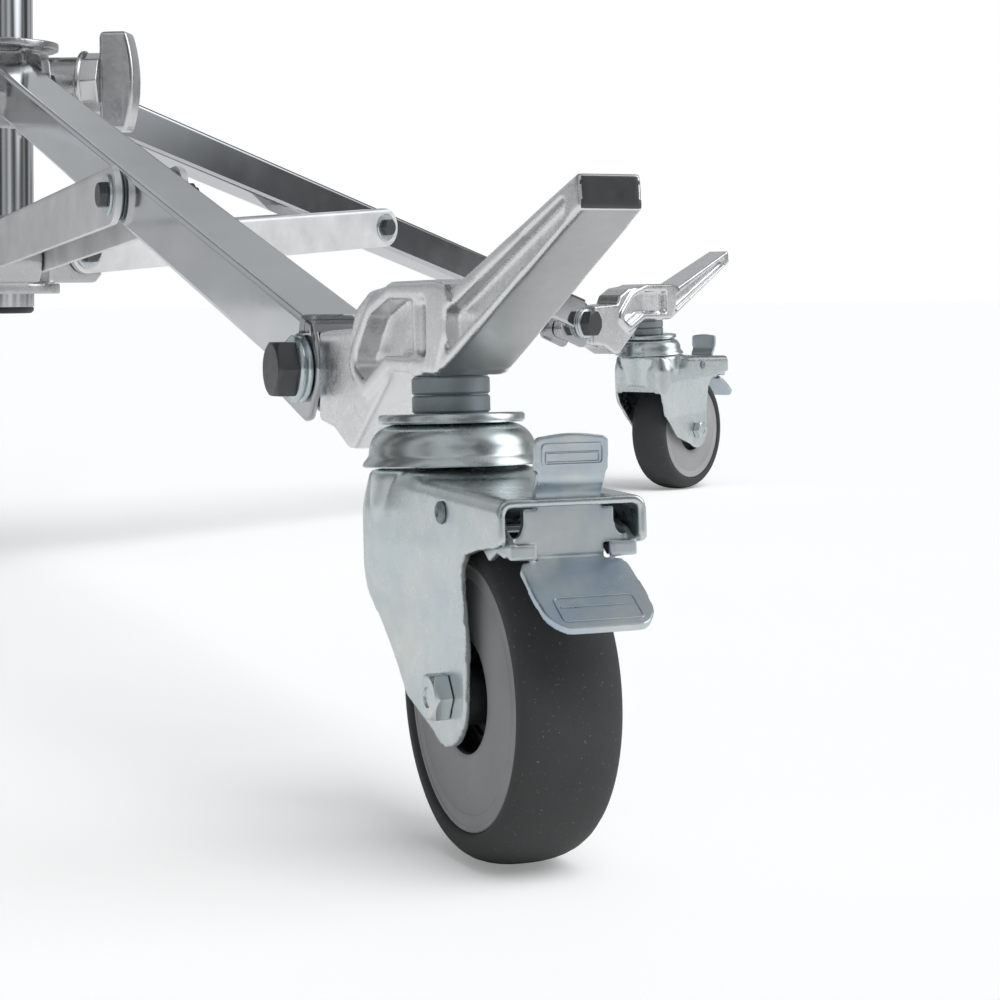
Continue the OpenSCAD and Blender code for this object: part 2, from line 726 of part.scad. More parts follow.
// Handle with a flat-sided hub and a crossbar, pointing away from the column
module clamp_handle(tip, face, bolt_at) {
    hub_len = 15;
    hub_d = 34;
    bar_t = 22;
    bar_from = face + hub_len;
    on_column() rotate([0, 0, 60]) translate([0, 0, bolt_at]) {
        rotate([0, 90, 0]) {
            translate([0, 0, tip]) cylinder(r = screw_d / 2, h = face - tip + 1);
            translate([0, 0, face + free_gap]) cylinder(d = hub_d, h = hub_len, $fn = 8);
        }
        intersection() {
            translate([bar_from - 1, 0, 0]) bar_yz(bar_t + 1) union() {
                square([handle_w, handle_len - handle_w], center = true);
                for (side = [-1, 1]) translate([0, side * (handle_len - handle_w) / 2]) circle(d = handle_w);
            }
            translate([bar_from + bar_t - 90, 0, 0]) cross_bore(90, through);
        }
    }
}

module column_clamp() {
    color(cast) translate([0, 0, column_top])
        clamp_body(column_r, riser_1_r + 0.5, clamp_grip, clamp_over, clamp_over / 2);
}

module column_bush() {
    color(nylon) on_column() translate([0, 0, column_top - bush_len])
        ring(column_r - tube_wall - 0.08, riser_1_r + running, bush_len - 0.1);
}

module column_handle() {
    color(steel_dark) translate([0, 0, column_top])
        clamp_handle(riser_1_r + free_gap, column_r + clamp_wall + clamp_boss_len, clamp_over / 2);
}

module riser_1() {
    color(chrome) on_column() translate([0, 0, riser_1_base])
        ring(riser_1_r, riser_1_r - tube_wall, riser_1_top - riser_1_base);
}

module riser_clamp() {
    color(cast) translate([0, 0, riser_1_top])
        clamp_body(riser_1_r, riser_2_r + 0.5, riser_1_top - clamp_rest, clamp_over, clamp_over / 2);
}

module riser_bush() {
    color(nylon) on_column() translate([0, 0, riser_1_top - bush_len])
        ring(riser_1_r - tube_wall - 0.08, riser_2_r + running, bush_len - 0.1);
}

module riser_handle() {
    color(steel_dark) translate([0, 0, riser_1_top])
        clamp_handle(riser_2_r + free_gap, riser_1_r + clamp_wall + clamp_boss_len, clamp_over / 2);
}

module riser_2() {
    color(chrome) on_column() translate([0, 0, riser_2_base])
        ring(riser_2_r, riser_2_r - tube_wall, riser_2_top - riser_2_base);
}

// Socket for a standard spigot, on top of the upper riser
module top_socket() {
    outer = riser_2_r + clamp_wall;
    color(cast) on_column() difference() {
        union() {
            translate([0, 0, socket_rest]) cylinder(r = outer, h = socket_floor + socket_depth - socket_rest);
            translate([0, 0, socket_floor + socket_depth - 8]) cylinder(r = outer + 2, h = 8);
            rotate([0, 0, 60]) translate([socket_d / 2 + 3, 0, socket_screw_z]) rotate([0, 90, 0])
                cylinder(r = clamp_boss_r - 4, h = outer - socket_d / 2 + clamp_boss_len - 3);
        }
        translate([0, 0, socket_rest - 1]) cylinder(r = riser_2_r + 0.05, h = riser_2_top - socket_rest + 1);
        translate([0, 0, socket_floor]) cylinder(r = socket_d / 2, h = socket_depth + 1);
        rotate([0, 0, 60]) translate([0, 0, socket_screw_z]) rotate([0, 90, 0])
            cylinder(r = screw_d / 2 + running, h = 100);
    }
}

module top_handle() {
    color(steel_dark) translate([0, 0, socket_screw_z])
        clamp_handle(socket_d / 2 + free_gap, riser_2_r + clamp_wall + clamp_boss_len, 0);
}

// Sliding collar

module cheek_side() {
    polygon([[20, -18], [pivot_radius + 6, -18], [pivot_radius + 13, -14], [pivot_radius + cheek_reach, -6],
        [pivot_radius + cheek_reach, 6], [pivot_radius + 13, 14], [pivot_radius + 6, 18], [20, 24]]);
}

module leg_collar() {
    boss_from = collar_r - 6;
    color(cast) difference() {
        union() {
            on_column() translate([0, 0, collar_base]) cylinder(r = collar_r, h = collar_top - collar_base);
            on_column() translate([0, 0, collar_top - collar_flange_t])
                cylinder(r = collar_flange_r, h = collar_flange_t);
            for (i = LEGS) for (side = [-1, 1])
                on_spoke(i) translate([0, side * (cheek_in + cheek_t / 2), leg_pivot_z])
                    plate_xz(cheek_t) cheek_side();
            on_spoke(1) rotate([0, 0, 60]) translate([boss_from, 0, leg_pivot_z + collar_screw_up])
                rotate([0, 90, 0]) cylinder(r = clamp_boss_r, h = collar_boss_face - boss_from);
        }
        on_column() translate([0, 0, collar_base - 1])
            cylinder(r = collar_bore_r, h = collar_top - collar_base + 2);
        for (i = LEGS) {
            on_spoke(i) translate([collar_r - 2, -cheek_in, leg_pivot_z - 60]) cube([60, 2 * cheek_in, 60 + 24]);
            on_spoke(i) translate([pivot_radius, 0, leg_pivot_z]) cross_bore(pivot_r + 0.05, through);
        }
        on_spoke(1) rotate([0, 0, 60]) translate([0, 0, leg_pivot_z + collar_screw_up]) rotate([0, 90, 0])
            cylinder(r = screw_d / 2 + running, h = 100);
    }
}

// Bolt ends in the collar's cheeks, ending flush with their inner faces
module collar_pins() {
    color(steel_dark) for (i = LEGS) for (side = [-1, 1])
        on_spoke(i) translate([pivot_radius, side * cheek_in, leg_pivot_z]) rotate([-90 * side, 0, 0]) {
            cylinder(r = pivot_r, h = cheek_t + 1);
            translate([0, 0, cheek_t + 0.05]) hex_prism(pivot_head_af, pivot_head_t);
        }
}

module collar_handle() {
    color(steel_dark) translate([0, 0, leg_pivot_z + collar_screw_up])
        clamp_handle(column_r + free_gap, collar_boss_face, 0);
}

// One line per node, so that a single piece can be shown on its own

column_tube();
column_base();
base_pins();
base_cap();
column_clamp();
column_bush();
column_handle();
leg_collar();
collar_pins();
collar_handle();
riser_1();
riser_clamp();
riser_bush();
riser_handle();
riser_2();
top_socket();
top_handle();
for (i = LEGS) {
    brace(i);
    brace_pin(i);
    leg_tube(i);
    leg_yoke(i);
    foot_casting(i);
    foot_bolt(i);
    caster_stem(i);
    swivel_cap(i);
    fork(i);
    brake_pivot(i);
    brake_pedal(i);
    axle(i);
    hub(i);
    tyre(i);
}
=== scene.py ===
import json
import math

import bpy
from mathutils import Matrix, Vector


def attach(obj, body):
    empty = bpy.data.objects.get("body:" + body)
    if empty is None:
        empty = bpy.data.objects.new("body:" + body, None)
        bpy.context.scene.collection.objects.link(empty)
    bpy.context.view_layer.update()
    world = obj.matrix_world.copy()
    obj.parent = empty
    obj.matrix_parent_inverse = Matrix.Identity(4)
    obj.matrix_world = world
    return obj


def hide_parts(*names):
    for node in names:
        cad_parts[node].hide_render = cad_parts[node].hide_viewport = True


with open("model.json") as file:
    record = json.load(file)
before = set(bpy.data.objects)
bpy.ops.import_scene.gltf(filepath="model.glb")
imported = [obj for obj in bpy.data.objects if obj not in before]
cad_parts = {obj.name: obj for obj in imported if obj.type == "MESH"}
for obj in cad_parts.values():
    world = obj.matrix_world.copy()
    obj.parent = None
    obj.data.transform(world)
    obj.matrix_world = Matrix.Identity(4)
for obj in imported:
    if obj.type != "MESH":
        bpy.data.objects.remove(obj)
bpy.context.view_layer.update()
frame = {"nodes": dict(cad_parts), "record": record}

mm = 0.001
perMetre = 1000
legs = (1, 2, 3)
thirds = (0, 120, 240)

# Real sizes of the stand, in millimetres and degrees
stand = {
    "columnX": -202.1364, "footReach": 712.0, "legSlope": 14.3, "braceSlope": 3.9, "pivotRadius": 62.0,
    "braceStation": 294.0, "casterLean": 3.0, "trail": 39.0, "axleDrop": 81.2, "wheelRadius": 50.0,
    "boltBack": 112.0, "boltUp": 12.5, "boltBelow": 6.6, "columnRadius": 25.0, "columnBelow": 33.5,
    "columnLength": 1300.0, "boltHole": 6.2,
}


def degCos(angle):
    return math.cos(math.radians(angle))


def degSin(angle):
    return math.sin(math.radians(angle))


swivelZ = stand["wheelRadius"] + stand["axleDrop"] * degCos(stand["casterLean"]) \
    - stand["trail"] * degSin(stand["casterLean"])
legBoltX = (stand["footReach"] - stand["boltBack"] - stand["pivotRadius"]
            + stand["boltBelow"] * degSin(stand["legSlope"])) / degCos(stand["legSlope"])
legPivotZ = swivelZ + stand["boltUp"] + legBoltX * degSin(stand["legSlope"]) \
    + stand["boltBelow"] * degCos(stand["legSlope"])
braceRun = stand["braceStation"] * degCos(stand["legSlope"])
braceLength = braceRun / degCos(stand["braceSlope"])
bracePivotZ = legPivotZ - stand["braceStation"] * degSin(stand["legSlope"]) \
    - braceRun * math.tan(math.radians(stand["braceSlope"]))


# Places of the pieces' own frames

def shift(x, y, z):
    return Matrix.Translation((x * mm, y * mm, z * mm))


def tip(angle):
    return Matrix.Rotation(math.radians(angle), 4, "Y")


columnPlace = shift(stand["columnX"], 0, 0)


def spokePlace(leg):
    return columnPlace @ Matrix.Rotation(math.radians(120 * (leg - 1)), 4, "Z")


legPlace = shift(stand["pivotRadius"], 0, legPivotZ) @ tip(stand["legSlope"])
bracePlace = shift(stand["pivotRadius"], 0, bracePivotZ) @ tip(-stand["braceSlope"])
footPlace = shift(stand["footReach"], 0, swivelZ)
casterPlace = footPlace @ tip(-stand["casterLean"])
axlePlace = casterPlace @ shift(stand["trail"], 0, -stand["axleDrop"])


# Shader nodes

class Wire:
    def __init__(self, tree, socket):
        self.tree, self.socket = tree, socket

    def maths(self, operation, other):
        node = self.tree.nodes.new("ShaderNodeMath")
        node.operation = operation
        self.tree.links.new(self.socket, node.inputs[0])
        if isinstance(other, Wire):
            self.tree.links.new(other.socket, node.inputs[1])
        else:
            node.inputs[1].default_value = other
        return Wire(self.tree, node.outputs[0])

    def __add__(self, other):
        return self.maths("ADD", other)

    def __mul__(self, other):
        return self.maths("MULTIPLY", other)

    __radd__ = __add__
    __rmul__ = __mul__


class Finish:
    def __init__(self, name, world=None):
        self.material = world or bpy.data.materials.new(name)
        self.material.use_nodes = True
        self.tree = self.material.node_tree
        self.tree.nodes.clear()
        self.output = self.tree.nodes.new("ShaderNodeOutputWorld" if world else "ShaderNodeOutputMaterial")
        self.coordinates = self.node("ShaderNodeTexCoord", output="Generated" if world else "Object")

    def node(self, kind, settings=None, values=None, output=0):
        made = self.tree.nodes.new(kind)
        for key, value in (settings or {}).items():
            setattr(made, key, value)
        for key, value in (values or {}).items():
            if isinstance(value, Wire):
                self.tree.links.new(value.socket, made.inputs[key])
            else:
                made.inputs[key].default_value = value
        return Wire(self.tree, made.outputs[output])

    def stretch(self, scale):
        return self.node("ShaderNodeMapping", values={"Vector": self.coordinates, "Scale": scale})

    def noise(self, scale, detail=2.0, rough=0.5, vector=None):
        return self.node("ShaderNodeTexNoise", values={"Vector": vector or self.coordinates, "Scale": scale,
                                                       "Detail": detail, "Roughness": rough})

    def ramp(self, factor, low, high, from_=0.0, to_=1.0):
        return self.node("ShaderNodeMapRange", {"clamp": True},
                         {"Value": factor, "From Min": low, "From Max": high, "To Min": from_, "To Max": to_})

    def mix(self, factor, first, second):
        return self.node("ShaderNodeMix", {"data_type": "RGBA"}, {0: factor, 6: first, 7: second}, 2)

    def bump(self, height, distance, strength=1.0):
        return self.node("ShaderNodeBump",
                         values={"Height": height, "Distance": distance, "Strength": strength})

    def surface(self, **values):
        made = self.tree.nodes.new("ShaderNodeBsdfPrincipled")
        for key, value in values.items():
            place = made.inputs[key.replace("_", " ")]
            if isinstance(value, Wire):
                self.tree.links.new(value.socket, place)
            else:
                place.default_value = value
        self.tree.links.new(made.outputs[0], self.output.inputs["Surface"])
        return self.material


def grey(level):
    return (level, level, level, 1)


def shade(red, green, blue, shadeTone):
    return (red * shadeTone, green * shadeTone, blue * shadeTone, 1)


# a tone below 1 darkens the whole colour: painted shade, used for the leg and yoke copies
def chromeFinish(name, along, shadeTone=1.0):
    f = Finish(name)
    drawn = f.noise(1.0, 3.0, 0.6, f.stretch(along))
    cloud = f.noise(14.0, 3.0, 0.55)
    colour = f.mix(f.ramp(cloud, 0.35, 0.7), shade(0.78, 0.80, 0.83, shadeTone), shade(0.88, 0.89, 0.91, shadeTone))
    return f.surface(Base_Color=colour, Metallic=1.0,
                     Roughness=f.ramp(drawn * 0.6 + cloud * 0.4, 0.3, 0.7, 0.05, 0.13),
                     Normal=f.bump(drawn, 0.000004, 0.4))


# a tone below 1 darkens the whole colour: painted shade, used for the collar and base copy
def castFinish(name, low=0.16, high=0.36, shadeTone=1.0):
    f = Finish(name)
    skin = f.noise(260.0, 4.0, 0.65)
    lumps = f.noise(70.0, 3.0, 0.5)
    patches = f.noise(25.0, 3.0, 0.6)
    colour = f.mix(f.ramp(patches, 0.3, 0.7), shade(0.82, 0.825, 0.83, shadeTone), shade(0.95, 0.95, 0.95, shadeTone))
    rough = f.ramp(skin * 0.5 + patches * 0.5, 0.35, 0.65, low, high)
    return f.surface(Base_Color=colour, Metallic=1.0, Roughness=rough,
                     Normal=f.bump(skin * 0.18 + lumps, 0.0001, 0.55))


def zincFinish(name, tint=(0.66, 0.74, 0.76, 1), low=0.2, high=0.36):
    f = Finish(name)
    cloud = f.noise(32.0, 4.0, 0.6)
    spangle = f.noise(120.0, 3.0, 0.6)
    warm = f.mix(f.ramp(cloud, 0.35, 0.65), tint, (0.79, 0.82, 0.80, 1))
    colour = f.mix(f.ramp(spangle, 0.45, 0.75, 0.0, 0.35), warm, (0.58, 0.68, 0.76, 1))
    rough = f.ramp(spangle * 0.5 + cloud * 0.5, 0.35, 0.65, low, high)
    return f.surface(Base_Color=colour, Metallic=1.0, Roughness=rough, Normal=f.bump(spangle, 0.00006, 0.5))


def plainMetalFinish(name, colour, low, high, metallic=1.0):
    f = Finish(name)
    cloud = f.noise(45.0, 4.0, 0.6)
    fine = f.noise(400.0, 3.0, 0.6)
    dark = tuple(c * 0.82 for c in colour[:3]) + (1,)
    return f.surface(Base_Color=f.mix(f.ramp(cloud, 0.3, 0.7), dark, colour), Metallic=metallic,
                     Roughness=f.ramp(fine * 0.5 + cloud * 0.5, 0.35, 0.65, low, high),
                     Normal=f.bump(fine, 0.00004, 0.5))


def hubFinish(name):
    f = Finish(name)
    cloud = f.noise(30.0, 3.0, 0.5)
    fine = f.noise(500.0, 2.0, 0.6)
    colour = f.mix(f.ramp(cloud, 0.3, 0.7), (0.33, 0.325, 0.33, 1), (0.39, 0.385, 0.39, 1))
    return f.surface(Base_Color=colour, Roughness=f.ramp(fine, 0.3, 0.7, 0.42, 0.55),
                     Normal=f.bump(fine, 0.00003, 0.4))


def tyreFinish(name):
    f = Finish(name)
    cloud = f.noise(40.0, 4.0, 0.6)
    specks = f.noise(900.0, 2.0, 0.7)
    base = f.mix(f.ramp(cloud, 0.3, 0.7), (0.033, 0.034, 0.035, 1), (0.050, 0.050, 0.051, 1))
    colour = f.mix(f.ramp(specks, 0.66, 0.76), base, (0.16, 0.16, 0.16, 1))
    return f.surface(Base_Color=colour, Roughness=f.ramp(cloud, 0.3, 0.7, 0.55, 0.7),
                     Normal=f.bump(f.noise(600.0, 4.0, 0.7), 0.00008, 0.6))


def nylonFinish(name):
    f = Finish(name)
    fine = f.noise(300.0, 3.0, 0.6)
    colour = f.mix(f.ramp(fine, 0.3, 0.7), (0.016, 0.017, 0.018, 1), (0.026, 0.027, 0.028, 1))
    return f.surface(Base_Color=colour, Roughness=f.ramp(fine, 0.3, 0.7, 0.4, 0.55),
                     Normal=f.bump(fine, 0.00004, 0.4))


finishes = {
    "chrome_tube": chromeFinish("tubeChrome", (160, 160, 5)),
    "cast_aluminium": castFinish("castAluminium"),
    "brace_aluminium": plainMetalFinish("braceAluminium", (0.93, 0.93, 0.93, 1), 0.34, 0.5, 0.8),
    "zinc_steel": zincFinish("zincPlate"),
    "spacer_steel": plainMetalFinish("spacerZinc", (0.36, 0.41, 0.43, 1), 0.45, 0.6, 0.85),
    "dark_steel": plainMetalFinish("boltSteel", (0.14, 0.14, 0.145, 1), 0.3, 0.46),
    "handle_metal": plainMetalFinish("handleMetal", (0.86, 0.86, 0.86, 1), 0.16, 0.28),
    "hub_plastic": hubFinish("hubPlastic"),
    "tyre_rubber": tyreFinish("tyreRubber"),
    "nylon": nylonFinish("blackNylon"),
}
slotOf = {entry["node"]: entry["material_slot"] for entry in frame["record"]["subparts"]}
for name, node in frame["nodes"].items():
    node.data.materials.clear()
    node.data.materials.append(finishes[slotOf[name]])
print("finishes made")


# Modelling

def turnZ(angle):
    return Matrix.Rotation(math.radians(angle), 4, "Z")


def crossways(side):
    return Matrix.Rotation(math.radians(-90 * side), 4, "X")


def clearPick():
    if bpy.context.mode != "OBJECT":
        bpy.ops.object.mode_set(mode="OBJECT")
    bpy.ops.object.select_all(action="DESELECT")


def pick(*pieces):
    clearPick()
    for piece in pieces:
        piece.select_set(True)
    bpy.context.view_layer.objects.active = pieces[0]


def apply(piece, kind, **settings):
    pick(piece)
    made = piece.modifiers.new(kind.title(), kind)
    for key, value in settings.items():
        setattr(made, key, value)
    bpy.ops.object.modifier_apply(modifier=made.name)


def fillet(points, radii, steps=5):
    rounded = []
    for index, corner in enumerate(points):
        radius = radii.get(index, 0) if isinstance(radii, dict) else radii
        corner = Vector(corner)
        before, after = Vector(points[index - 1]) - corner, Vector(points[(index + 1) % len(points)]) - corner
        reach = min(radius / math.tan(before.angle(after) / 2), 0.48 * before.length, 0.48 * after.length)
        if radius <= 0:
            rounded.append(tuple(corner))
            continue
        start, end = corner + before.normalized() * reach, corner + after.normalized() * reach
        for step in range(steps + 1):
            t = step / steps
            rounded.append(tuple(start * (1 - t) ** 2 + corner * 2 * t * (1 - t) + end * t ** 2))
    return rounded


sides = {"side": lambda a, b, c: (a * mm, c * mm, b * mm), "top": lambda a, b, c: (a * mm, b * mm, c * mm),
         "front": lambda a, b, c: (c * mm, a * mm, b * mm)}


def outline(name, points, level=0.0, face="side"):
    clearPick()
    bpy.ops.mesh.primitive_circle_add(vertices=len(points), radius=mm, fill_type="NGON")
    piece = bpy.context.object
    piece.name = piece.data.name = name
    for corner, (a, b) in zip(piece.data.vertices, points):
        corner.co = sides[face](a, b, level)
    return piece


def slab(name, points, low, high, face="side"):
    piece = outline(name, points, low, face)
    pick(piece)
    bpy.ops.object.mode_set(mode="EDIT")
    bpy.ops.mesh.select_all(action="SELECT")
    bpy.ops.mesh.extrude_region_move(TRANSFORM_OT_translate={"value": sides[face](0, 0, high - low)})
    bpy.ops.mesh.select_all(action="SELECT")
    bpy.ops.mesh.normals_make_consistent(inside=False)
    bpy.ops.object.mode_set(mode="OBJECT")
    return piece


def lathe(name, profile, steps=96, turn="Z"):
    piece = outline(name, profile)
    pick(piece)
    bpy.ops.object.mode_set(mode="EDIT")
    bpy.ops.mesh.select_all(action="SELECT")
    bpy.ops.mesh.delete(type="ONLY_FACE")
    bpy.ops.mesh.select_all(action="SELECT")
    bpy.ops.mesh.spin(steps=steps, angle=2 * math.pi, center=(0, 0, 0), axis=(0, 0, 1))
    bpy.ops.mesh.select_all(action="SELECT")
    bpy.ops.mesh.remove_doubles(threshold=0.002 * mm)
    bpy.ops.mesh.normals_make_consistent(inside=False)
    bpy.ops.object.mode_set(mode="OBJECT")
    if turn == "Y":
        move(piece, Matrix.Rotation(math.pi / 2, 4, "X"))
    return piece


def rod(name, radius, low, high, at=(0, 0), face="side", count=48):
    ring = [(at[0] + radius * math.cos(2 * math.pi * n / count),
             at[1] + radius * math.sin(2 * math.pi * n / count))
            for n in range(count)]
    return slab(name, ring, low, high, face)


def move(piece, place):
    pick(piece)
    piece.matrix_world = place @ piece.matrix_world
    bpy.ops.object.transform_apply(location=True, rotation=True, scale=True)
    return piece


def join(name, *pieces):
    pick(*pieces)
    bpy.ops.object.join()
    pieces[0].name = pieces[0].data.name = name
    return pieces[0]


def carve(piece, *cutters, operation="DIFFERENCE"):
    for cutter in cutters:
        apply(piece, "BOOLEAN", operation=operation, object=cutter, solver="EXACT")
        bpy.data.objects.remove(cutter)
    return piece


def melt(piece, voxel, passes=4, factor=0.5):
    apply(piece, "REMESH", mode="VOXEL", voxel_size=voxel * mm)
    apply(piece, "SMOOTH", factor=factor, iterations=passes)
    pick(piece)
    bpy.ops.object.shade_smooth()
    return piece


def smooth(piece, angle):
    pick(piece)
    bpy.ops.object.shade_smooth_by_angle(angle=math.radians(angle))


def rounding(piece, width, segments=3, angle=30):
    apply(piece, "BEVEL", width=width * mm, segments=segments, limit_method="ANGLE",
          angle_limit=math.radians(angle))
    smooth(piece, 40)
    apply(piece, "WEIGHTED_NORMAL", keep_sharp=True, weight=100)
    return piece


def copyOf(piece):
    made = piece.copy()
    made.data = piece.data.copy()
    bpy.context.collection.objects.link(made)
    return made


def place(piece, name, where, body, slot, nodes, finish=None):
    made = copyOf(piece)
    made.name = made.data.name = name
    move(made, where)
    if not made.data.materials:
        made.data.materials.append(finish or finishes[slot])
    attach(made, body)
    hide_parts(*nodes)
    return made


def placeOnColumn(piece, name, body, slot, *nodes, where=None, finish=None):
    place(piece, name, columnPlace @ (where or Matrix()), body, slot, nodes, finish)
    bpy.data.objects.remove(piece)


def placePerLeg(piece, where, body, slot, *nodes, finish=None):
    for leg in legs:
        place(piece, "%s_%d" % (piece.name, leg), spokePlace(leg) @ where, "%s_%d" % (body, leg), slot,
              ["%s_%d" % (node, leg) for node in nodes], finish)
    bpy.data.objects.remove(piece)


# Square leg tube with its folded end yoke

leg = {"size": 25.0, "wall": 2.0, "corner": 2.6, "head": 13.0, "end": legBoltX - 3.0,
       "washerNotch": 12.6, "pivotHole": 4.1}


def squareOutline(half, corner):
    return fillet([(-half, -half), (half, -half), (half, half), (-half, half)], corner, 6)


tube = slab("legTube", squareOutline(leg["size"] / 2, leg["corner"]), -leg["head"], leg["end"], "front")
bore = slab("bore", squareOutline(leg["size"] / 2 - leg["wall"], leg["corner"] - 1.2), -40,
            leg["end"] + 20, "front")
carve(tube, bore, rod("notch", leg["washerNotch"], -30, 30, (legBoltX, -stand["boltBelow"])),
      rod("pivotHole", leg["pivotHole"], -30, 30))
rounding(tube, 0.25, 2, 50)
# the legs get a darker copy of the tube chrome: painted shade
placePerLeg(tube, legPlace, "leg", "chrome_tube", "leg_tube",
            finish=chromeFinish("legChromePaintedShade", (30, 30, 30), 0.78))

yoke = {"half": 10.45, "wall": 2.5, "tail": 60.0, "lip": 6.0, "ear": 14.0, "lobe": 20.0, "bend": 3.0}


def yokeOutline():
    bx, bz, top = legBoltX, -stand["boltBelow"], yoke["half"]
    tail, lip, ear, lobe = leg["end"] - yoke["tail"], leg["end"] + yoke["lip"], yoke["ear"], yoke["lobe"]
    points = [(tail, top), (tail, -top), (bx - lobe + 1, -top), (bx - lobe + 1, -13.1), (bx - 28, -13.6),
              (bx - 29.5, bz - 11), (bx - 25, bz - 17.5), (bx + 4, bz - 18.5), (bx + 9, bz - 16),
              (bx + 11, bz - 9.5)]
    points += [(bx + ear * degCos(a), bz + ear * degSin(a)) for a in range(-36, 50, 12)]
    return points + [(lip, top)]


cheeks = slab("legYoke", fillet(yokeOutline(), {4: 2, 5: 5, 6: 6, 7: 5, 8: 5}, 4),
              -yoke["half"], yoke["half"])
rounding(cheeks, yoke["bend"], 5, 80)
room = yoke["half"] - yoke["wall"]
inner = slab("inside", [(legBoltX - 110, -60), (legBoltX + 60, -60), (legBoltX + 60, room),
                        (legBoltX - 110, room)], -room, room)
carve(cheeks, inner, rod("boltHole", stand["boltHole"], -30, 30, (legBoltX, -stand["boltBelow"])))
rounding(cheeks, 0.5, 3, 50)
# the yokes get a still darker copy of the tube chrome: painted shade
placePerLeg(cheeks, legPlace, "leg", "chrome_tube", "leg_yoke",
            finish=chromeFinish("yokeChromePaintedShade", (30, 30, 30), 0.62))
print("leg tubes and yokes made")


# Foot casting: arm, hump with rim and pocket, and the upturned horn

foot = {"bodyHalf": 11.0, "rimHalf": 12.5, "web": 4.0, "tangHalf": 7.6, "hornReach": 113.0, "hornTop": 72.0,
        "hornTipHalf": 9.5, "slotFloor": 6.5, "stemBlock": 12.2, "seat": 13.2, "grain": 0.75}

body = slab("footCasting", fillet([(-95, -5), (-95, 26), (-62, 27.5), (-58, 34), (-45, 40), (-22, 42.5),
                                   (16, 43), (26, 41.5), (30, 38), (24, 20), (17, 14), (-24, 13.7),
                                   (-60, -13), (-66, -13), (-80, -7)],
                                  {4: 10, 5: 8, 13: 3, 12: 2, 11: 3, 10: 4}, 5),
            -foot["bodyHalf"], foot["bodyHalf"])
rounding(body, 1.2, 3, 50)
rim = slab("rim", fillet([(-60, 20), (-61, 13), (-47, 4.5), (-24, 14.4), (17, 14.4), (30, 36), (26, 42),
                          (16, 43.5), (-22, 43), (-43, 36.5)],
                         {0: 8, 1: 6, 2: 3, 3: 3, 8: 14, 9: 14, 7: 6}, 5),
           -foot["rimHalf"], foot["rimHalf"])
rounding(rim, 0.9, 3, 50)
bx, bz = -stand["boltBack"], stand["boltUp"]
tang = slab("tang", fillet([(-14, -13), (30, -13), (30, 13.6), (-14, 13.6)], {0: 8, 3: 3}),
            -foot["tangHalf"], foot["tangHalf"])
move(tang, shift(bx, 0, bz) @ tip(stand["legSlope"]))
horn = slab("horn", fillet([(17, 14.2), (foot["hornReach"] + 1.5, foot["hornTop"] - 10.2),
                            (foot["hornReach"], foot["hornTop"]), (4, 32)], {0: 6, 3: 5}),
            -foot["rimHalf"], foot["rimHalf"])
taper = slab("taper", [(-5, -foot["rimHalf"]), (foot["hornReach"] + 6, -foot["hornTipHalf"]),
                       (foot["hornReach"] + 6, foot["hornTipHalf"]), (-5, foot["rimHalf"])], 0, 100, "top")
carve(horn, taper, operation="INTERSECT")
rounding(horn, 0.8, 3, 50)
stemBlock = rod("stemBlock", foot["stemBlock"], foot["seat"], foot["seat"] + 24, face="top")
move(stemBlock, tip(-stand["casterLean"]))
carve(body, rim, tang, horn, stemBlock, operation="UNION")
for side in (-1, 1):
    slot = slab("slot", fillet([(24, 33.6), (24, 21.4), (105, 59.8), (105, 65.8)],
                               {0: 2.5, 1: 2, 2: 3, 3: 3}), side * foot["slotFloor"], side * 30)
    pocket = slab("pocket", fillet([(-54, 19), (-54, 14.5), (-46, 10.5), (-27, 19.2), (9, 19.6), (9, 37.5),
                                    (-24, 37.5), (-42, 32)],
                                   {0: 4, 1: 3, 2: 2, 3: 3, 4: 3, 5: 3, 6: 8, 7: 10}, 5),
                  side * foot["web"], side * 30)
    keep = rod("keep", foot["stemBlock"] - 0.6, 0, 60, face="top")
    move(keep, tip(-stand["casterLean"]))
    carve(pocket, keep)
    carve(body, slot, pocket)
carve(body, rod("boltHole", stand["boltHole"], -30, 30, (bx, bz)))
melt(body, foot["grain"], 5)
apply(body, "DECIMATE", ratio=0.45)
# the horn's cut end face is coloured near-black: painted dark reflection of the surroundings, not the metal's
# own colour
hornEndPaintedReflectionFinish = plainMetalFinish("hornCutFacePaintedReflection", (0.16, 0.16, 0.165, 1), 0.38, 0.55)
# a darker, rougher copy of the casting for the horn's underside: painted shade under the horn
undersidePaintedShadeFinish = plainMetalFinish("hornUndersidePaintedShade", (0.62, 0.62, 0.62, 1), 0.28, 0.42)
for finish in (finishes["cast_aluminium"], hornEndPaintedReflectionFinish, undersidePaintedShadeFinish):
    body.data.materials.append(finish)
for face in body.data.polygons:
    # faces looking out of the horn's end take the painted dark reflection
    if face.normal.x > 0.93 and face.center.x > (foot["hornReach"] - 2) * mm:
        face.material_index = 1
    # faces looking down under the horn take the painted shade
    elif face.normal.z < -0.6 and face.center.x > 14 * mm and abs(face.normal.y) < 0.3:
        face.material_index = 2
placePerLeg(body, footPlace, "leg", "cast_aluminium", "foot_casting")
print("foot castings made")


# Bolts, washers and the caster's stem

def hexPoints(acrossFlats):
    radius = acrossFlats / 2 / degCos(30)
    return [(radius * degCos(60 * n), radius * degSin(60 * n)) for n in range(6)]


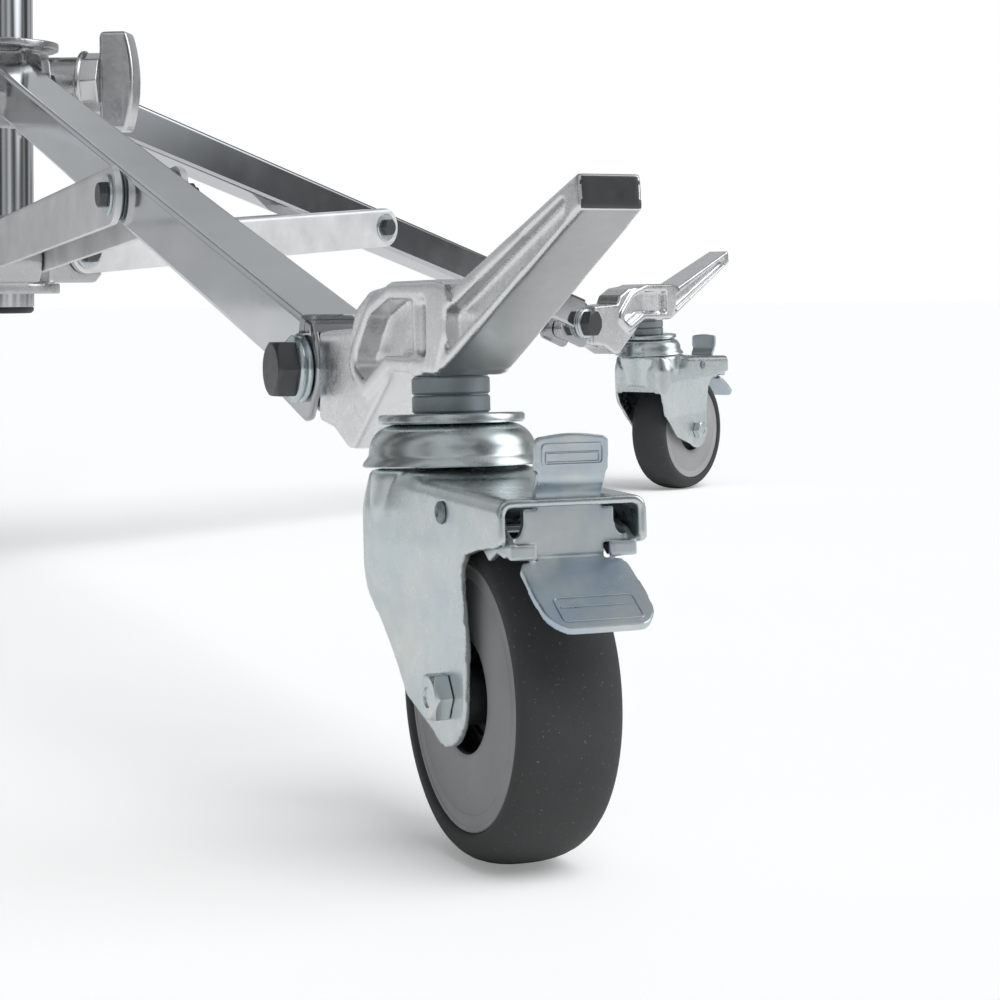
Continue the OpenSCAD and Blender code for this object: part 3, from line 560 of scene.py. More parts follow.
def hexHead(name, acrossFlats, low, high, crown):
    head = slab(name, hexPoints(acrossFlats), low, high, "top")
    outer, top = acrossFlats / 2 / degCos(30) + 0.2, max(low, high, key=abs)
    bottom, lean = (low if top == high else high), (1 if top > 0 else -1)
    cone = lathe("chamfer", [(0, top), (acrossFlats / 2 * 0.94, top), (outer, top - lean * crown),
                             (outer, bottom - lean), (0, bottom - lean)], 64)
    carve(head, cone, operation="INTERSECT")
    rounding(head, 0.25, 2, 25)
    return head


footBolt = {"shank": 6.0, "flats": 19.0, "headTall": 7.5, "washerOut": 12.0, "washerTall": 2.5, "face": 10.5}


def washer(name, inner, outer, low, high, soft=0.5):
    return lathe(name, [(inner, low), (outer - soft, low), (outer, low + soft), (outer, high - soft),
                        (outer - soft, high), (inner, high)], 72)


stack = []
for side in (-1, 1):
    for step in (0, 1):
        low = footBolt["face"] + step * (footBolt["washerTall"] + 0.05)
        ring = washer("washer", 6.1, footBolt["washerOut"], low, low + footBolt["washerTall"], 0.9)
        move(ring, crossways(side))
        smooth(ring, 50)
        ring.data.materials.append(finishes["zinc_steel"])
        stack.append(ring)
face = footBolt["face"] + 2 * footBolt["washerTall"] + 0.1
for side, tall in ((-1, footBolt["headTall"]), (1, footBolt["headTall"] + 1)):
    head = hexHead("boltHead", footBolt["flats"], face, face + tall, 1.6)
    move(head, crossways(side))
    head.data.materials.append(finishes["dark_steel"])
    stack.append(head)
shank = rod("shank", footBolt["shank"], -face - 1, face + footBolt["headTall"] + 3)
rounding(shank, 0.5, 2, 50)
shank.data.materials.append(finishes["dark_steel"])
bolt = join("footBolt", shank, *stack)
placePerLeg(bolt, footPlace @ shift(-stand["boltBack"], 0, stand["boltUp"]), "leg", "dark_steel", "foot_bolt")

stem = {"washerOut": 23.0, "washerTall": 3.0, "spacerOut": 12.3, "spacerTall": 5.7, "gap": 0.1, "radius": 6.0,
        "top": 34.0, "headGap": 0.3, "capRadius": 27.6, "capDrop": 13.0, "capRound": 8.5, "capPlate": 2.5}
capBase = -stem["washerTall"] / 2 - stem["gap"] - stem["capDrop"]
crownTop = capBase - stem["headGap"] - stem["capPlate"]
forkRoof = crownTop - stem["capPlate"] - stem["headGap"]
spacerBase = stem["washerTall"] / 2 + stem["gap"]
pieces = [rod("pin", stem["radius"], forkRoof - 3, stem["top"], face="top"),
          rod("pinHead", stem["radius"] + 4, forkRoof - 4, forkRoof, face="top")]
for ring in pieces:
    rounding(ring, 0.8, 3, 50)
for step in (0, 1):
    low = spacerBase + step * (stem["spacerTall"] + stem["gap"])
    pieces.append(washer("spacer", stem["radius"] + 0.1, stem["spacerOut"], low,
                         low + stem["spacerTall"], 0.7))
for ring in pieces:
    ring.data.materials.append(finishes["spacer_steel"])
rimOut = stem["washerOut"]
flange = lathe("topWasher", [(stem["radius"] + 0.1, -1.5), (rimOut - 0.8, -1.5), (rimOut, -0.9),
                             (rimOut, 0.8), (rimOut - 0.4, 1.3), (rimOut - 0.8, 1.5),
                             (stem["radius"] + 0.1, 1.5)], 96)
flange.data.materials.append(finishes["zinc_steel"])
stemPiece = join("casterStem", *pieces, flange)
smooth(stemPiece, 40)
placePerLeg(stemPiece, casterPlace, "leg", "spacer_steel", "caster_stem")

capCurve = [(stem["capRadius"] - 1.4 - stem["capRound"] * (1 - degCos(a)),
             capBase + stem["capDrop"] - stem["capRound"] * (1 - degSin(a))) for a in range(0, 91, 10)]
cap = lathe("swivelCap", [(stem["radius"] + 0.1, capBase + 3.5), (24, capBase + 3.5), (24, capBase),
                          (27.9, capBase - 0.1), (28.3, capBase + 0.3), (27.9, capBase + 1.5),
                          (26.9, capBase + 2.6), (26.3, capBase + 3.6)] + capCurve[1:]
            + [(stem["radius"] + 0.1, capBase + stem["capDrop"])], 128)
smooth(cap, 40)
placePerLeg(cap, casterPlace, "leg", "zinc_steel", "swivel_cap")
print("bolts and stems made")


# Caster fork: one bent plate, rounded at the back, open in front over the pedal

fork = {"half": 23.0, "axleHalf": 20.5, "plate": 2.5, "front": 88.0, "endRadius": 15.0, "backRadius": 13.0,
        "back": 21.0, "roofBend": 20.0, "roofSlope": 4.2, "roofEdge": 4.6, "grain": 0.62, "mouthTop": -46.0,
        "stemHole": 6.3, "axleHole": 4.2, "pinHole": 2.8, "slotStart": 80.2, "slotEnd": 87.2,
        "slotHalf": 12.5, "raceRadius": 24.6, "raceStep": 2.7, "rise": 2.0, "riseFrom": 35.0,
        "riseFull": 25.0, "riseLow": 9.0, "swell": 3.2, "swellFrom": 30.0, "swellFull": -10.0,
        "swellOver": 3.0, "swellTop": 14.0, "swellLow": 26.0, "swellEnd": 52.0, "middle": 8.0,
        "middleSoft": 10.0,
        "shoulder": [(19.5, -22), (22.3, -22), (23.1, -13), (23.8, -7), (24.4, -3.4), (24.6, -2),
                     (24.5, -0.6), (24, -0.05), (19.5, -0.05)]}
brake = {"pivotX": 46.5, "pivotZ": -27.0, "hole": 2.85, "sheet": 2.5, "plateX": 83.7, "bendZ": -39.6,
         "slope": 53.0, "tabX": 88.0, "armOut": 19.6, "armTall": 2.0, "lipX": 88.0, "lipIn": 11.4}


def easeIn(part):
    part = min(max(part, 0.0), 1.0)
    return part * part * (3 - 2 * part)


def forkSide():
    trail, drop, end = stand["trail"], stand["axleDrop"], fork["endRadius"]
    around = [(trail + end * degCos(a), -drop + end * degSin(a)) for a in range(2, -136, -12)]
    return [(-13, 0), (fork["front"], 0), (fork["front"], -34.5), (86, -35.8), (72, -37), (62, -39),
            (58, -42.5), (56, -47), (55, -62)] + around + [(8, -84), (0, -74.6), (-9, -65.5), (-15, -55),
                                                           (-19, -44), (-20.6, -36), (-21, -27),
                                                           (-20, -22), (-17.5, -18.6)]


def forkFront(less):
    crown, low, flat = fork["half"] - less, fork["axleHalf"] - less, fork["endRadius"] - stand["axleDrop"]
    return fillet([(-crown, 0), (-crown, -38), (-low, flat), (-low, -120), (low, -120), (low, flat),
                   (crown, -38), (crown, 0)], {1: 30, 2: 30, 5: 30, 6: 30}, 6)


def forkPlan(less):
    half, soft = fork["half"] - less, fork["backRadius"] - less
    back = less - fork["back"]
    return fillet([(back, -half), (140, -half), (140, half), (back, half)], {0: soft, 3: soft}, 8)


def roofBar(less):
    half, edge = fork["half"] - less, fork["roofEdge"] - less
    return fillet([(-half, -130), (-half, 0), (half, 0), (half, -130)], {1: edge, 2: edge}, 8)


def roofBlock(name, less):
    level = slab(name, roofBar(less), -60, fork["roofBend"], "front")
    move(level, shift(0, 0, crownTop - less))
    sloped = slab("sloped", roofBar(less), 0, 120, "front")
    move(sloped, shift(fork["roofBend"], 0, crownTop - less) @ tip(fork["roofSlope"]))
    return carve(level, sloped, operation="UNION")


def forkBlock(name, profile, less):
    block = slab(name, profile, -40, 40)
    carve(block, slab("front", forkFront(less), -60, 150, "front"),
          slab("plan", forkPlan(less), -130, 10, "top"), roofBlock("roof", less), operation="INTERSECT")
    return block


shell = forkBlock("fork", fillet(forkSide(), {2: 3}, 3), 0)
carve(shell, forkBlock("hollow", [(-60, 20), (130, 20), (130, -130), (-60, -130)], fork["plate"]))
roof = crownTop - fork["plate"]
neck = lathe("neck", [(0, roof + 0.1), (fork["raceRadius"], roof + 0.1), (fork["raceRadius"], crownTop - 0.6),
                      (fork["raceRadius"] - 0.6, crownTop), (fork["raceRadius"] - 2.4, crownTop),
                      (fork["raceRadius"] - 2.8, crownTop + 2.4), (0, crownTop + 2.4)], 128)
shoulder = lathe("shoulder", [(r, crownTop + z) for r, z in fork["shoulder"]], 128)
carve(shoulder, slab("backOnly", [(-40, -60), (12, -60), (12, 0), (-40, 0)], -40, 40), operation="INTERSECT")
carve(shell, shoulder, neck, operation="UNION")
mouth, inside = fork["mouthTop"], fork["axleHalf"] - fork["plate"]
rear = slab("rearMouth", [(-30, mouth), (2, mouth), (2, -130), (-30, -130)], -inside, inside)
start, end, half = fork["slotStart"], fork["slotEnd"], fork["slotHalf"]
pedalSlot = slab("pedalSlot", fillet([(start, -half), (end, -half), (end, half), (start, half)], 0.8),
                 -40, 0, "top")
carve(shell, rear, pedalSlot, rod("stemHole", fork["stemHole"], -60, 0, face="top"),
      rod("axleHole", fork["axleHole"], -40, 40, (stand["trail"], -stand["axleDrop"])),
      rod("pedalHole", fork["pinHole"], -40, 40, (brake["pivotX"], brake["pivotZ"])))
melt(shell, fork["grain"], 3)
for corner in shell.data.vertices:  # the cheeks swell outwards round the swivel
    x, y, z = (c * perMetre for c in corner.co)
    down, out = crownTop - z, math.hypot(x, y)
    along = easeIn((fork["swellFrom"] - x) / (fork["swellFrom"] - fork["swellFull"]))
    upper = easeIn((down + fork["swellOver"]) / fork["swellTop"])
    lower = easeIn((fork["swellEnd"] - down) / (fork["swellEnd"] - fork["swellLow"]))
    beside = easeIn((abs(y) - fork["middle"]) / fork["middleSoft"])
    corner.co.y += math.copysign(fork["swell"] * along * upper * lower * beside, y) / perMetre
    if down > -0.2 and out > fork["raceRadius"] - fork["raceStep"]:  # and the crown rises to the race
        near = easeIn((fork["riseFrom"] - out) / (fork["riseFrom"] - fork["riseFull"]))
        corner.co.z += fork["rise"] * near * easeIn((fork["riseLow"] - down) / fork["riseLow"]) / perMetre
apply(shell, "DECIMATE", ratio=0.3)
placePerLeg(shell, casterPlace, "caster", "zinc_steel", "fork")
print("forks made")


# Brake: the riveted pin, and the pedal with its release tab, arms and lips

rivetHead = [(0, 24.0), (0.9, 24.0), (1.2, 24.5), (1.6, 24.6), (2.0, 24.3), (2.8, 24.1), (3.2, 23.8),
             (3.3, 23.2), (0, 23.1)]
rivet = lathe("brakePivot", rivetHead + [(r, -z) for r, z in reversed(rivetHead[:-1])], 48)
carve(rivet, rod("pin", 2.75, -23.4, 23.4, face="top"), operation="UNION")
rivetBlanks = rod("between", 8, -23.1, 23.1, face="top")
carve(rivetBlanks, rod("pinRoom", 2.75, -30, 30, face="top"))
carve(rivet, rivetBlanks)
move(rivet, shift(brake["pivotX"], 0, brake["pivotZ"]) @ Matrix.Rotation(math.pi / 2, 4, "X"))
smooth(rivet, 40)
placePerLeg(rivet, casterPlace, "caster", "spacer_steel", "brake_pivot")


def embossed(name, half, low, high, radius, level, line=0.55, proud=0.32):
    outer = fillet([(-half, low), (half, low), (half, high), (-half, high)], radius, 6)
    inner = fillet([(line - half, low + line), (half - line, low + line), (half - line, high - line),
                    (line - half, high - line)], max(radius - line, 0.2), 6)
    border = slab(name, outer, level - 0.2, level + proud, "front")
    carve(border, slab("inside", inner, level - 1, level + 1, "front"))
    rounding(border, 0.15, 2, 50)
    return border


def ridge(name, half, height, level, line=0.55, proud=0.3):
    bar = slab(name, fillet([(-half, height - line / 2), (half, height - line / 2), (half, height + line / 2),
                             (-half, height + line / 2)], 0.25, 3), level - 0.2, level + proud, "front")
    rounding(bar, 0.12, 2, 50)
    return bar


sheet, faceX, tabX = brake["sheet"], brake["plateX"] + brake["sheet"] / 2, brake["tabX"]
sheetSide = fillet([(tabX + 1, -3), (tabX - 0.3, -17.6), (faceX, -20.8), (faceX, brake["bendZ"]),
                    (faceX - sheet, brake["bendZ"]), (faceX - sheet, -19.9), (tabX - 0.3 - sheet, -16.6),
                    (tabX + 1 - sheet, -3)], {1: 5, 2: 4, 5: 2, 6: 3}, 5)
sheetFront = fillet([(-10.1, -23), (-10.5, -15.5), (-11.3, -14.7), (-11.3, -5.6), (0, -4.1), (11.3, -5.6),
                     (11.3, -14.7), (10.5, -15.5), (10.1, -23), (10.1, -25.4), (14, -25.4), (14, -29.5),
                     (15.2, -33.4), (19, -33.4), (19, -35.4), (10.5, -35.4), (10.5, -50), (-10.5, -50),
                     (-10.5, -35.4), (-19, -35.4), (-19, -33.4), (-15.2, -33.4), (-14, -29.5), (-14, -25.4),
                     (-10.1, -25.4)],
                    {2: 0.5, 3: 2.2, 4: 60, 5: 2.2, 6: 0.5, 11: 2, 12: 3.4, 13: 0.6, 20: 0.6, 21: 3.4,
                     22: 2}, 5)
plate = slab("brakePedal", sheetSide, -30, 30)
carve(plate, slab("sheetFront", sheetFront, 60, 120, "front"), operation="INTERSECT")
lowerFront = fillet([(-10.3, 1), (-10.3, -1.8), (-15.3, -2.4), (-16.4, -4.4), (-17, -16), (-16.4, -25),
                     (-12.5, -30.2), (12.5, -30.2), (16.4, -25), (17, -16), (16.4, -4.4), (15.3, -2.4),
                     (10.3, -1.8), (10.3, 1)],
                    {1: 1.4, 2: 1.2, 3: 2, 4: 12, 5: 9.5, 6: 6.8, 7: 6.8, 8: 9.5, 9: 12, 10: 2, 11: 1.2,
                     12: 1.4}, 7)
lower = slab("lowerPedal", lowerFront, -sheet / 2, sheet / 2, "front")
lowerPlace = shift(brake["plateX"], 0, brake["bendZ"]) @ tip(-brake["slope"])
move(lower, lowerPlace)
armSide = fillet([(faceX - sheet, -31.4), (brake["lipX"], -35.2), (brake["lipX"], -39.4), (84.7, -38.4),
                  (83, -39), (77.8, -37.6), (72.3, -40.2), (67.5, -36.6), (60, -33.5), (44.5, -31.5),
                  (41.5, -27), (42.5, -23.4), (60, -25)],
                 {1: 0.6, 4: 0.5, 5: 0.5, 6: 0.6, 9: 3, 10: 4, 11: 3}, 4)
arms = []
for side in (-1, 1):
    arms.append(slab("arm", armSide, side * (brake["armOut"] - brake["armTall"]), side * brake["armOut"]))
    far, near = side * brake["armOut"], side * brake["lipIn"]
    lipFront = fillet([(far, -35.2), (near, -35.2), (near, -39.4), (far, -39.4)], {1: 0.6, 2: 0.6, 3: 1.2}, 4)
    arms.append(slab("lip", lipFront, brake["lipX"] - brake["armTall"], brake["lipX"], "front"))
shoe = slab("shoe", [(-19.1, -33), (19.1, -33), (19.1, -30.8), (-19.1, -30.8)], 56, 65, "front")
carve(plate, lower, *arms, shoe, operation="UNION")
carve(plate, rod("pivotHole", brake["hole"], -40, 40, (brake["pivotX"], brake["pivotZ"])))
melt(plate, 0.42, 3)
apply(plate, "DECIMATE", ratio=0.3)
tabTurn = shift(tabX, 0, -17.6) @ tip(5.0) @ shift(-tabX, 0, 17.6)
marks = [embossed("tabFrame", 9.6, -13.5, -7.2, 1.6, tabX - 0.1),
         embossed("tabFrameInner", 8.4, -12.7, -9.6, 0.5, tabX - 0.1, 0.35),
         ridge("tabLine", 8.2, -10.2, tabX - 0.1, 0.35)]
for mark in marks:
    move(mark, tabTurn)
lowMarks = [embossed("pedalFrame", 12.4, -27.6, -17.4, 1.8, sheet / 2, 0.6),
            ridge("pedalLine", 11.3, -21.6, sheet / 2)]
for mark in lowMarks:
    move(mark, lowerPlace)
pedal = join("brakePedal", plate, *marks, *lowMarks)
pedalFinish = zincFinish("pedalZinc", (0.50, 0.60, 0.70, 1), 0.24, 0.44)
placePerLeg(pedal, casterPlace, "pedal", "zinc_steel", "brake_pedal", finish=pedalFinish)
print("brakes made")


# Axle bolt, hub and tyre

axle = {"flats": 13.0, "tall": 5.3, "shank": 4.0, "span": 20.7, "ring": 6.5, "ringIn": 17.76,
        "ringOut": 17.94}
heads = []
for side, tall in ((-1, axle["tall"]), (1, axle["tall"] + 1)):
    head = hexHead("axleHead", axle["flats"], axle["span"], axle["span"] + tall, 1.3)
    if side < 0:
        over, floor = axle["span"] + tall + 1, axle["span"] + tall - 0.5
        carve(head, lathe("dish", [(0, over), (3.4, over), (3.0, floor), (0, floor)], 48))
        rounding(head, 0.2, 2, 40)
    move(head, crossways(side))
    heads.append(head)
shank = rod("axle", axle["shank"], -axle["span"] - 1, axle["span"] + axle["tall"] + 3)
collars = []
for side in (-1, 1):
    ring = washer("spacer", axle["shank"] + 0.1, axle["ring"], axle["ringIn"], axle["ringOut"], 0.05)
    collars.append(move(ring, crossways(side)))
axlePiece = join("axle", shank, *heads, *collars)
smooth(axlePiece, 35)
placePerLeg(axlePiece, axlePlace, "caster", "zinc_steel", "axle")

wheel = {"half": 15.0, "recess": 17.0, "boss": 9.0, "bossHalf": 17.7, "web": 7.0, "bore": 4.1}
boss, bossHalf, web, recess = wheel["boss"], wheel["bossHalf"], wheel["web"], wheel["recess"]
hubHalf = [(wheel["bore"], bossHalf), (7.6, bossHalf), (8.2, bossHalf - 0.5), (boss, 15.5), (boss, 8.0),
           (boss + 0.8, web), (12.5, web), (13.0, web + 1.2), (13.6, web + 1.2), (14.1, web), (16.2, web),
           (recess, 8.0), (recess, 13.6), (recess + 0.5, 14.3), (recess + 1.1, 14.5), (18.9, 14.7),
           (19.4, 14.6), (34.6, 14.6), (35.0, 14.4), (35.4, 14.6), (38.3, 14.6), (38.7, 14.9),
           (39.6, wheel["half"]), (40, 14.7)]
hub = lathe("hub", hubHalf + [(r, -z) for r, z in reversed(hubHalf)], 128, "Y")
smooth(hub, 30)
hub.data.materials.append(finishes["hub_plastic"])
hub.data.materials.append(finishes["nylon"])
for face in hub.data.polygons:
    if math.hypot(face.center.x, face.center.z) / mm < recess + 0.6:
        face.material_index = 1
placePerLeg(hub, axlePlace, "wheel", "hub_plastic", "hub")

tyreHalf = [(50.0, 0), (49.98, 2), (49.85, 4.5), (49.55, 7), (49.0, 9.5), (48.1, 12), (47.0, 13.8),
            (45.6, 15.2), (44.2, 15.85), (42.6, 16.0), (41.4, 15.9), (40.7, 15.5), (40.3, 14.9),
            (40.02, 14.2)]
tyreProfile = list(reversed(tyreHalf)) + [(r, -z) for r, z in tyreHalf[1:]]
tyre = lathe("tyre", tyreProfile, 160, "Y")
smooth(tyre, 40)
placePerLeg(tyre, axlePlace, "wheel", "tyre_rubber", "tyre")
print("wheels made")


# Braces and their pivot bolts

brace = {"half": 17.0, "deep": 13.5, "wall": 3.0, "fold": 3.4, "webStart": 24.0, "webCut": 92.0}
pin = {"radius": 4.0, "washerOut": 9.5, "washerTall": 1.3, "headTall": 5.0}


def channel(half, top, soft):
    return fillet([(-half, -30), (-half, top), (half, top), (half, -30)], {1: soft, 2: soft}, 6)


def crossBolt(name, flats, halfSpan, washerOut=None):
    start = halfSpan + (pin["washerTall"] if washerOut else 0)
    shank = rod("shank", pin["radius"], -halfSpan - 2, halfSpan + pin["headTall"] + 2.8)
    rounding(shank, 0.5, 2, 50)
    parts = [shank]
    for side, tall in ((-1, pin["headTall"]), (1, pin["headTall"] + 1)):
        head = hexHead("head", flats, start, halfSpan + tall, 1.2)
        parts.append(move(head, crossways(side)))
    for part in parts:
        part.data.materials.append(finishes["dark_steel"])
    for side in (-1, 1) if washerOut else ():
        ring = washer("washer", pin["radius"] + 0.1, washerOut, halfSpan, start - 0.05, 0.4)
        ring.data.materials.append(finishes["zinc_steel"])
        parts.append(move(ring, crossways(side)))
    return join(name, *parts)


def spread(piece):
    copies = [move(copyOf(piece), turnZ(turn)) for turn in thirds]
    name = piece.name
    bpy.data.objects.remove(piece)
    return join(name, *copies)


deep = brace["deep"]
stadium = [(braceLength + deep * degSin(a), deep * degCos(a)) for a in range(0, 181, 9)]
stadium += [(-deep * degSin(a), -deep * degCos(a)) for a in range(0, 181, 9)]
bar = slab("brace", stadium, -brace["half"], brace["half"])
carve(bar, slab("folds", channel(brace["half"], deep, brace["fold"]), -40, braceLength + 40, "front"),
      operation="INTERSECT")
carve(bar, slab("inside", channel(brace["half"] - brace["wall"], deep - brace["wall"], 1.2), -40,
                braceLength + 40, "front"))
for start, end in ((-40, brace["webStart"]), (braceLength - brace["webCut"], braceLength + 40)):
    carve(bar, slab("gap", [(start, -30), (end, -30), (end, 30), (start, 30)],
                    brace["wall"] - brace["half"], brace["half"] - brace["wall"]))
carve(bar, rod("hole", pin["radius"] + 0.1, -30, 30),
      rod("hole", pin["radius"] + 0.2, -30, 30, (braceLength, 0)))
rounding(bar, 0.6, 3, 50)
placePerLeg(bar, bracePlace, "brace_arm", "brace_aluminium", "brace")

bolt = crossBolt("bracePin", 11.0, brace["half"] + 0.05, pin["washerOut"])
rings = []
for side in (-1, 1):
    ring = washer("spacer", pin["radius"] + 0.1, deep - 2, leg["size"] / 2 + 0.1,
                  brace["half"] - brace["wall"] - 0.1, 0.3)
    ring.data.materials.append(finishes["spacer_steel"])
    rings.append(move(ring, crossways(side)))
bolt = join("bracePin", bolt, *rings)
placePerLeg(bolt, bracePlace @ shift(braceLength, 0, 0), "brace_arm", "dark_steel", "brace_pin")
print("braces made")


# Column base, collar and their pins, in the column's own frame

collar = {"bore": 25.2, "radius": 34.0, "up": 30.0, "down": 21.0, "flange": 40.0, "flangeTall": 5.0,
          "cheekIn": 13.3, "cheekOut": 18.8, "bossFace": 56.0, "boss": 15.0, "screwUp": 6.0, "pinHole": 4.05,
          "grain": 0.8}
base = {"bore": 25.05, "radius": 34.0, "up": 20.0, "down": 25.5, "flange": 40.0, "flangeTall": 6.0,
        "tongueHalf": 13.2}
screw = {"radius": 6.0, "turn": 60.0}


def screwHole(z):
    return move(rod("screwHole", screw["radius"] + 0.1, 0, 100, (0, z), "front"), turnZ(screw["turn"]))


pieces, slots = [], []
cheek = fillet([(20, -18), (68, -18), (75, -14), (78, -6), (78, 6), (75, 14), (68, 18), (20, 24)],
               {1: 4, 2: 5, 3: 5, 4: 5, 5: 5, 6: 4})
for turn in thirds:
    for side in (-1, 1):
        near, far = sorted((side * collar["cheekIn"], side * collar["cheekOut"]))
        pieces.append(move(slab("cheek", cheek, near, far), turnZ(turn) @ shift(0, 0, legPivotZ)))
    gap = slab("gap", [(32, -60), (92, -60), (92, 24), (32, 24)], -collar["cheekIn"], collar["cheekIn"])
    slots.append(move(gap, turnZ(turn) @ shift(0, 0, legPivotZ)))
    slots.append(move(rod("hole", collar["pinHole"], -40, 40, (stand["pivotRadius"], legPivotZ)),
                      turnZ(turn)))
low, top = legPivotZ - collar["down"], legPivotZ + collar["up"]
under = top - collar["flangeTall"]
screwZ = legPivotZ + collar["screwUp"]
sleeve = lathe("legCollar", [(collar["bore"], low), (collar["radius"], low), (collar["radius"], under),
                             (collar["flange"], under), (collar["flange"], top), (collar["bore"], top)], 128)
boss = rod("boss", collar["boss"], 28, collar["bossFace"], (0, screwZ), "front")
pieces.append(move(boss, turnZ(screw["turn"])))
carve(sleeve, *pieces, operation="UNION")
bore = rod("bore", collar["bore"], low - 5, top + 5, face="top", count=128)
carve(sleeve, *slots, bore, screwHole(screwZ))
melt(sleeve, collar["grain"], 4)
apply(sleeve, "DECIMATE", ratio=0.35)
# darker copy of the cast aluminium for the collar and the column base: painted shade from the legs above
castPaintedShadeFinish = castFinish("collarAndBaseCastPaintedShade", 0.2, 0.4, 0.7)
placeOnColumn(sleeve, "legCollar", "collar", "cast_aluminium", "leg_collar", finish=castPaintedShadeFinish)

stubs = []
for side in (-1, 1):
    stub = rod("stub", pin["radius"], collar["cheekIn"], collar["cheekOut"] + 1, face="top")
    head = hexHead("head", 13.0, collar["cheekOut"] + 0.05, collar["cheekOut"] + pin["headTall"] + 0.05, 1.4)
    stubs.append(move(join("stub", stub, head), shift(stand["pivotRadius"], 0, legPivotZ) @ crossways(side)))
placeOnColumn(spread(join("collarPins", *stubs)), "collarPins", "collar", "dark_steel", "collar_pins")

low, top = bracePivotZ - base["down"], bracePivotZ + base["up"]
over = low + base["flangeTall"]
foundation = lathe("columnBase", [(base["bore"], low), (base["flange"], low), (base["flange"], over),
                                  (base["radius"], over), (base["radius"], top), (base["bore"], top)], 128)
reach = stand["pivotRadius"] + 17
tongue = fillet([(20, -19), (reach - 7, -19), (reach - 2, -14), (reach, -8), (reach, -2), (reach - 7, 7),
                 (reach - 17, 10), (reach - 29, 10), (20, 16)], {1: 4, 2: 4, 3: 4, 4: 4, 5: 4, 6: 4, 7: 6})
pieces = [move(slab("tongue", tongue, -base["tongueHalf"], base["tongueHalf"]),
               turnZ(turn) @ shift(0, 0, bracePivotZ)) for turn in thirds]
holes = [move(rod("hole", pin["radius"] + 0.2, -40, 40, (stand["pivotRadius"], bracePivotZ)), turnZ(turn))
         for turn in thirds]
carve(foundation, *pieces, operation="UNION")
carve(foundation, rod("bore", base["bore"], low - 5, top + 5, face="top", count=128), *holes)
melt(foundation, collar["grain"], 4)
apply(foundation, "DECIMATE", ratio=0.35)
placeOnColumn(foundation, "columnBase", "column", "cast_aluminium", "column_base", finish=castPaintedShadeFinish)

pins = spread(move(crossBolt("basePins", 13.0, brace["half"] + 0.3, pin["washerOut"] + 1),
                   shift(stand["pivotRadius"], 0, bracePivotZ)))
placeOnColumn(pins, "basePins", "column", "dark_steel", "base_pins")
print("collar and base made")


# Column tube, risers and their clamps

tube = {"wall": 2.0, "riser1": 21.0, "riser2": 17.5, "bush": 60.0, "socket": 14.3, "socketDeep": 75.0}
clamp = {"wall": 6.0, "grip": 48.0, "over": 24.0, "boss": 11.0, "bossLength": 16.0, "gap": 0.3, "lip": 6.0}
columnFoot = bracePivotZ - stand["columnBelow"]
columnTop = columnFoot + stand["columnLength"]
riser1Top = columnTop + clamp["over"] + clamp["gap"] + clamp["grip"] - 4
socketRest = riser1Top + clamp["over"] + clamp["gap"]
riser2Top = socketRest + 30
socketFloor = riser2Top + 4
socketTop = socketFloor + tube["socketDeep"]


def pipe(name, outer, inner, low, high, body, slot, node):
    made = lathe(name, [(inner, low + 0.3), (inner + 0.3, low), (outer - 0.4, low), (outer, low + 0.4),
                        (outer, high - 0.4), (outer - 0.4, high), (inner + 0.3, high),
                        (inner, high - 0.3)], 128)
    smooth(made, 40)
    placeOnColumn(made, name, body, slot, node)


wide, thin = stand["columnRadius"], tube["wall"]
pipe("columnTube", wide, wide - thin, columnFoot, columnTop, "column", "chrome_tube", "column_tube")
pipe("riser1", tube["riser1"], tube["riser1"] - thin, columnFoot + 30, riser1Top, "lower_riser",
     "chrome_tube", "riser_1")
pipe("riser2", tube["riser2"], tube["riser2"] - thin, columnFoot + 50, riser2Top, "upper_riser",
     "chrome_tube", "riser_2")
pipe("columnBush", wide - thin - 0.08, tube["riser1"] + 0.1, columnTop - tube["bush"], columnTop - 0.1,
     "column", "nylon", "column_bush")
pipe("riserBush", tube["riser1"] - thin - 0.08, tube["riser2"] + 0.1, riser1Top - tube["bush"],
     riser1Top - 0.1, "lower_riser", "nylon", "riser_bush")

plug = lathe("baseCap", [(0, -3.5), (22.6, -3.5), (23.6, -3.2), (24.6, -2.2), (24.9, -1.2), (24.9, -0.5),
                         (24.5, -0.05), (22.9, -0.05), (22.9, 15), (22, 16), (0, 16)], 96)
smooth(plug, 40)
placeOnColumn(plug, "baseCap", "column", "nylon", "base_cap", where=shift(0, 0, columnFoot))

dot = lathe("footScrew", [(0, 0.9), (1.3, 0.9), (2.2, 0.6), (2.6, 0), (2.6, -0.6), (0, -0.6)], 48)
smooth(dot, 40)
dotPlace = turnZ(-11) @ shift(wide, 0, columnFoot + 6.0) @ Matrix.Rotation(math.pi / 2, 4, "Y")
dotFinish = plainMetalFinish("footScrewZinc", grey(0.9), 0.3, 0.45)
placeOnColumn(dot, "footScrew", "column", "spacer_steel", where=dotPlace, finish=dotFinish)


def finishCasting(made, name, body, node):
    melt(made, collar["grain"], 4)
    apply(made, "DECIMATE", ratio=0.3)
    placeOnColumn(made, name, body, "cast_aluminium", node)


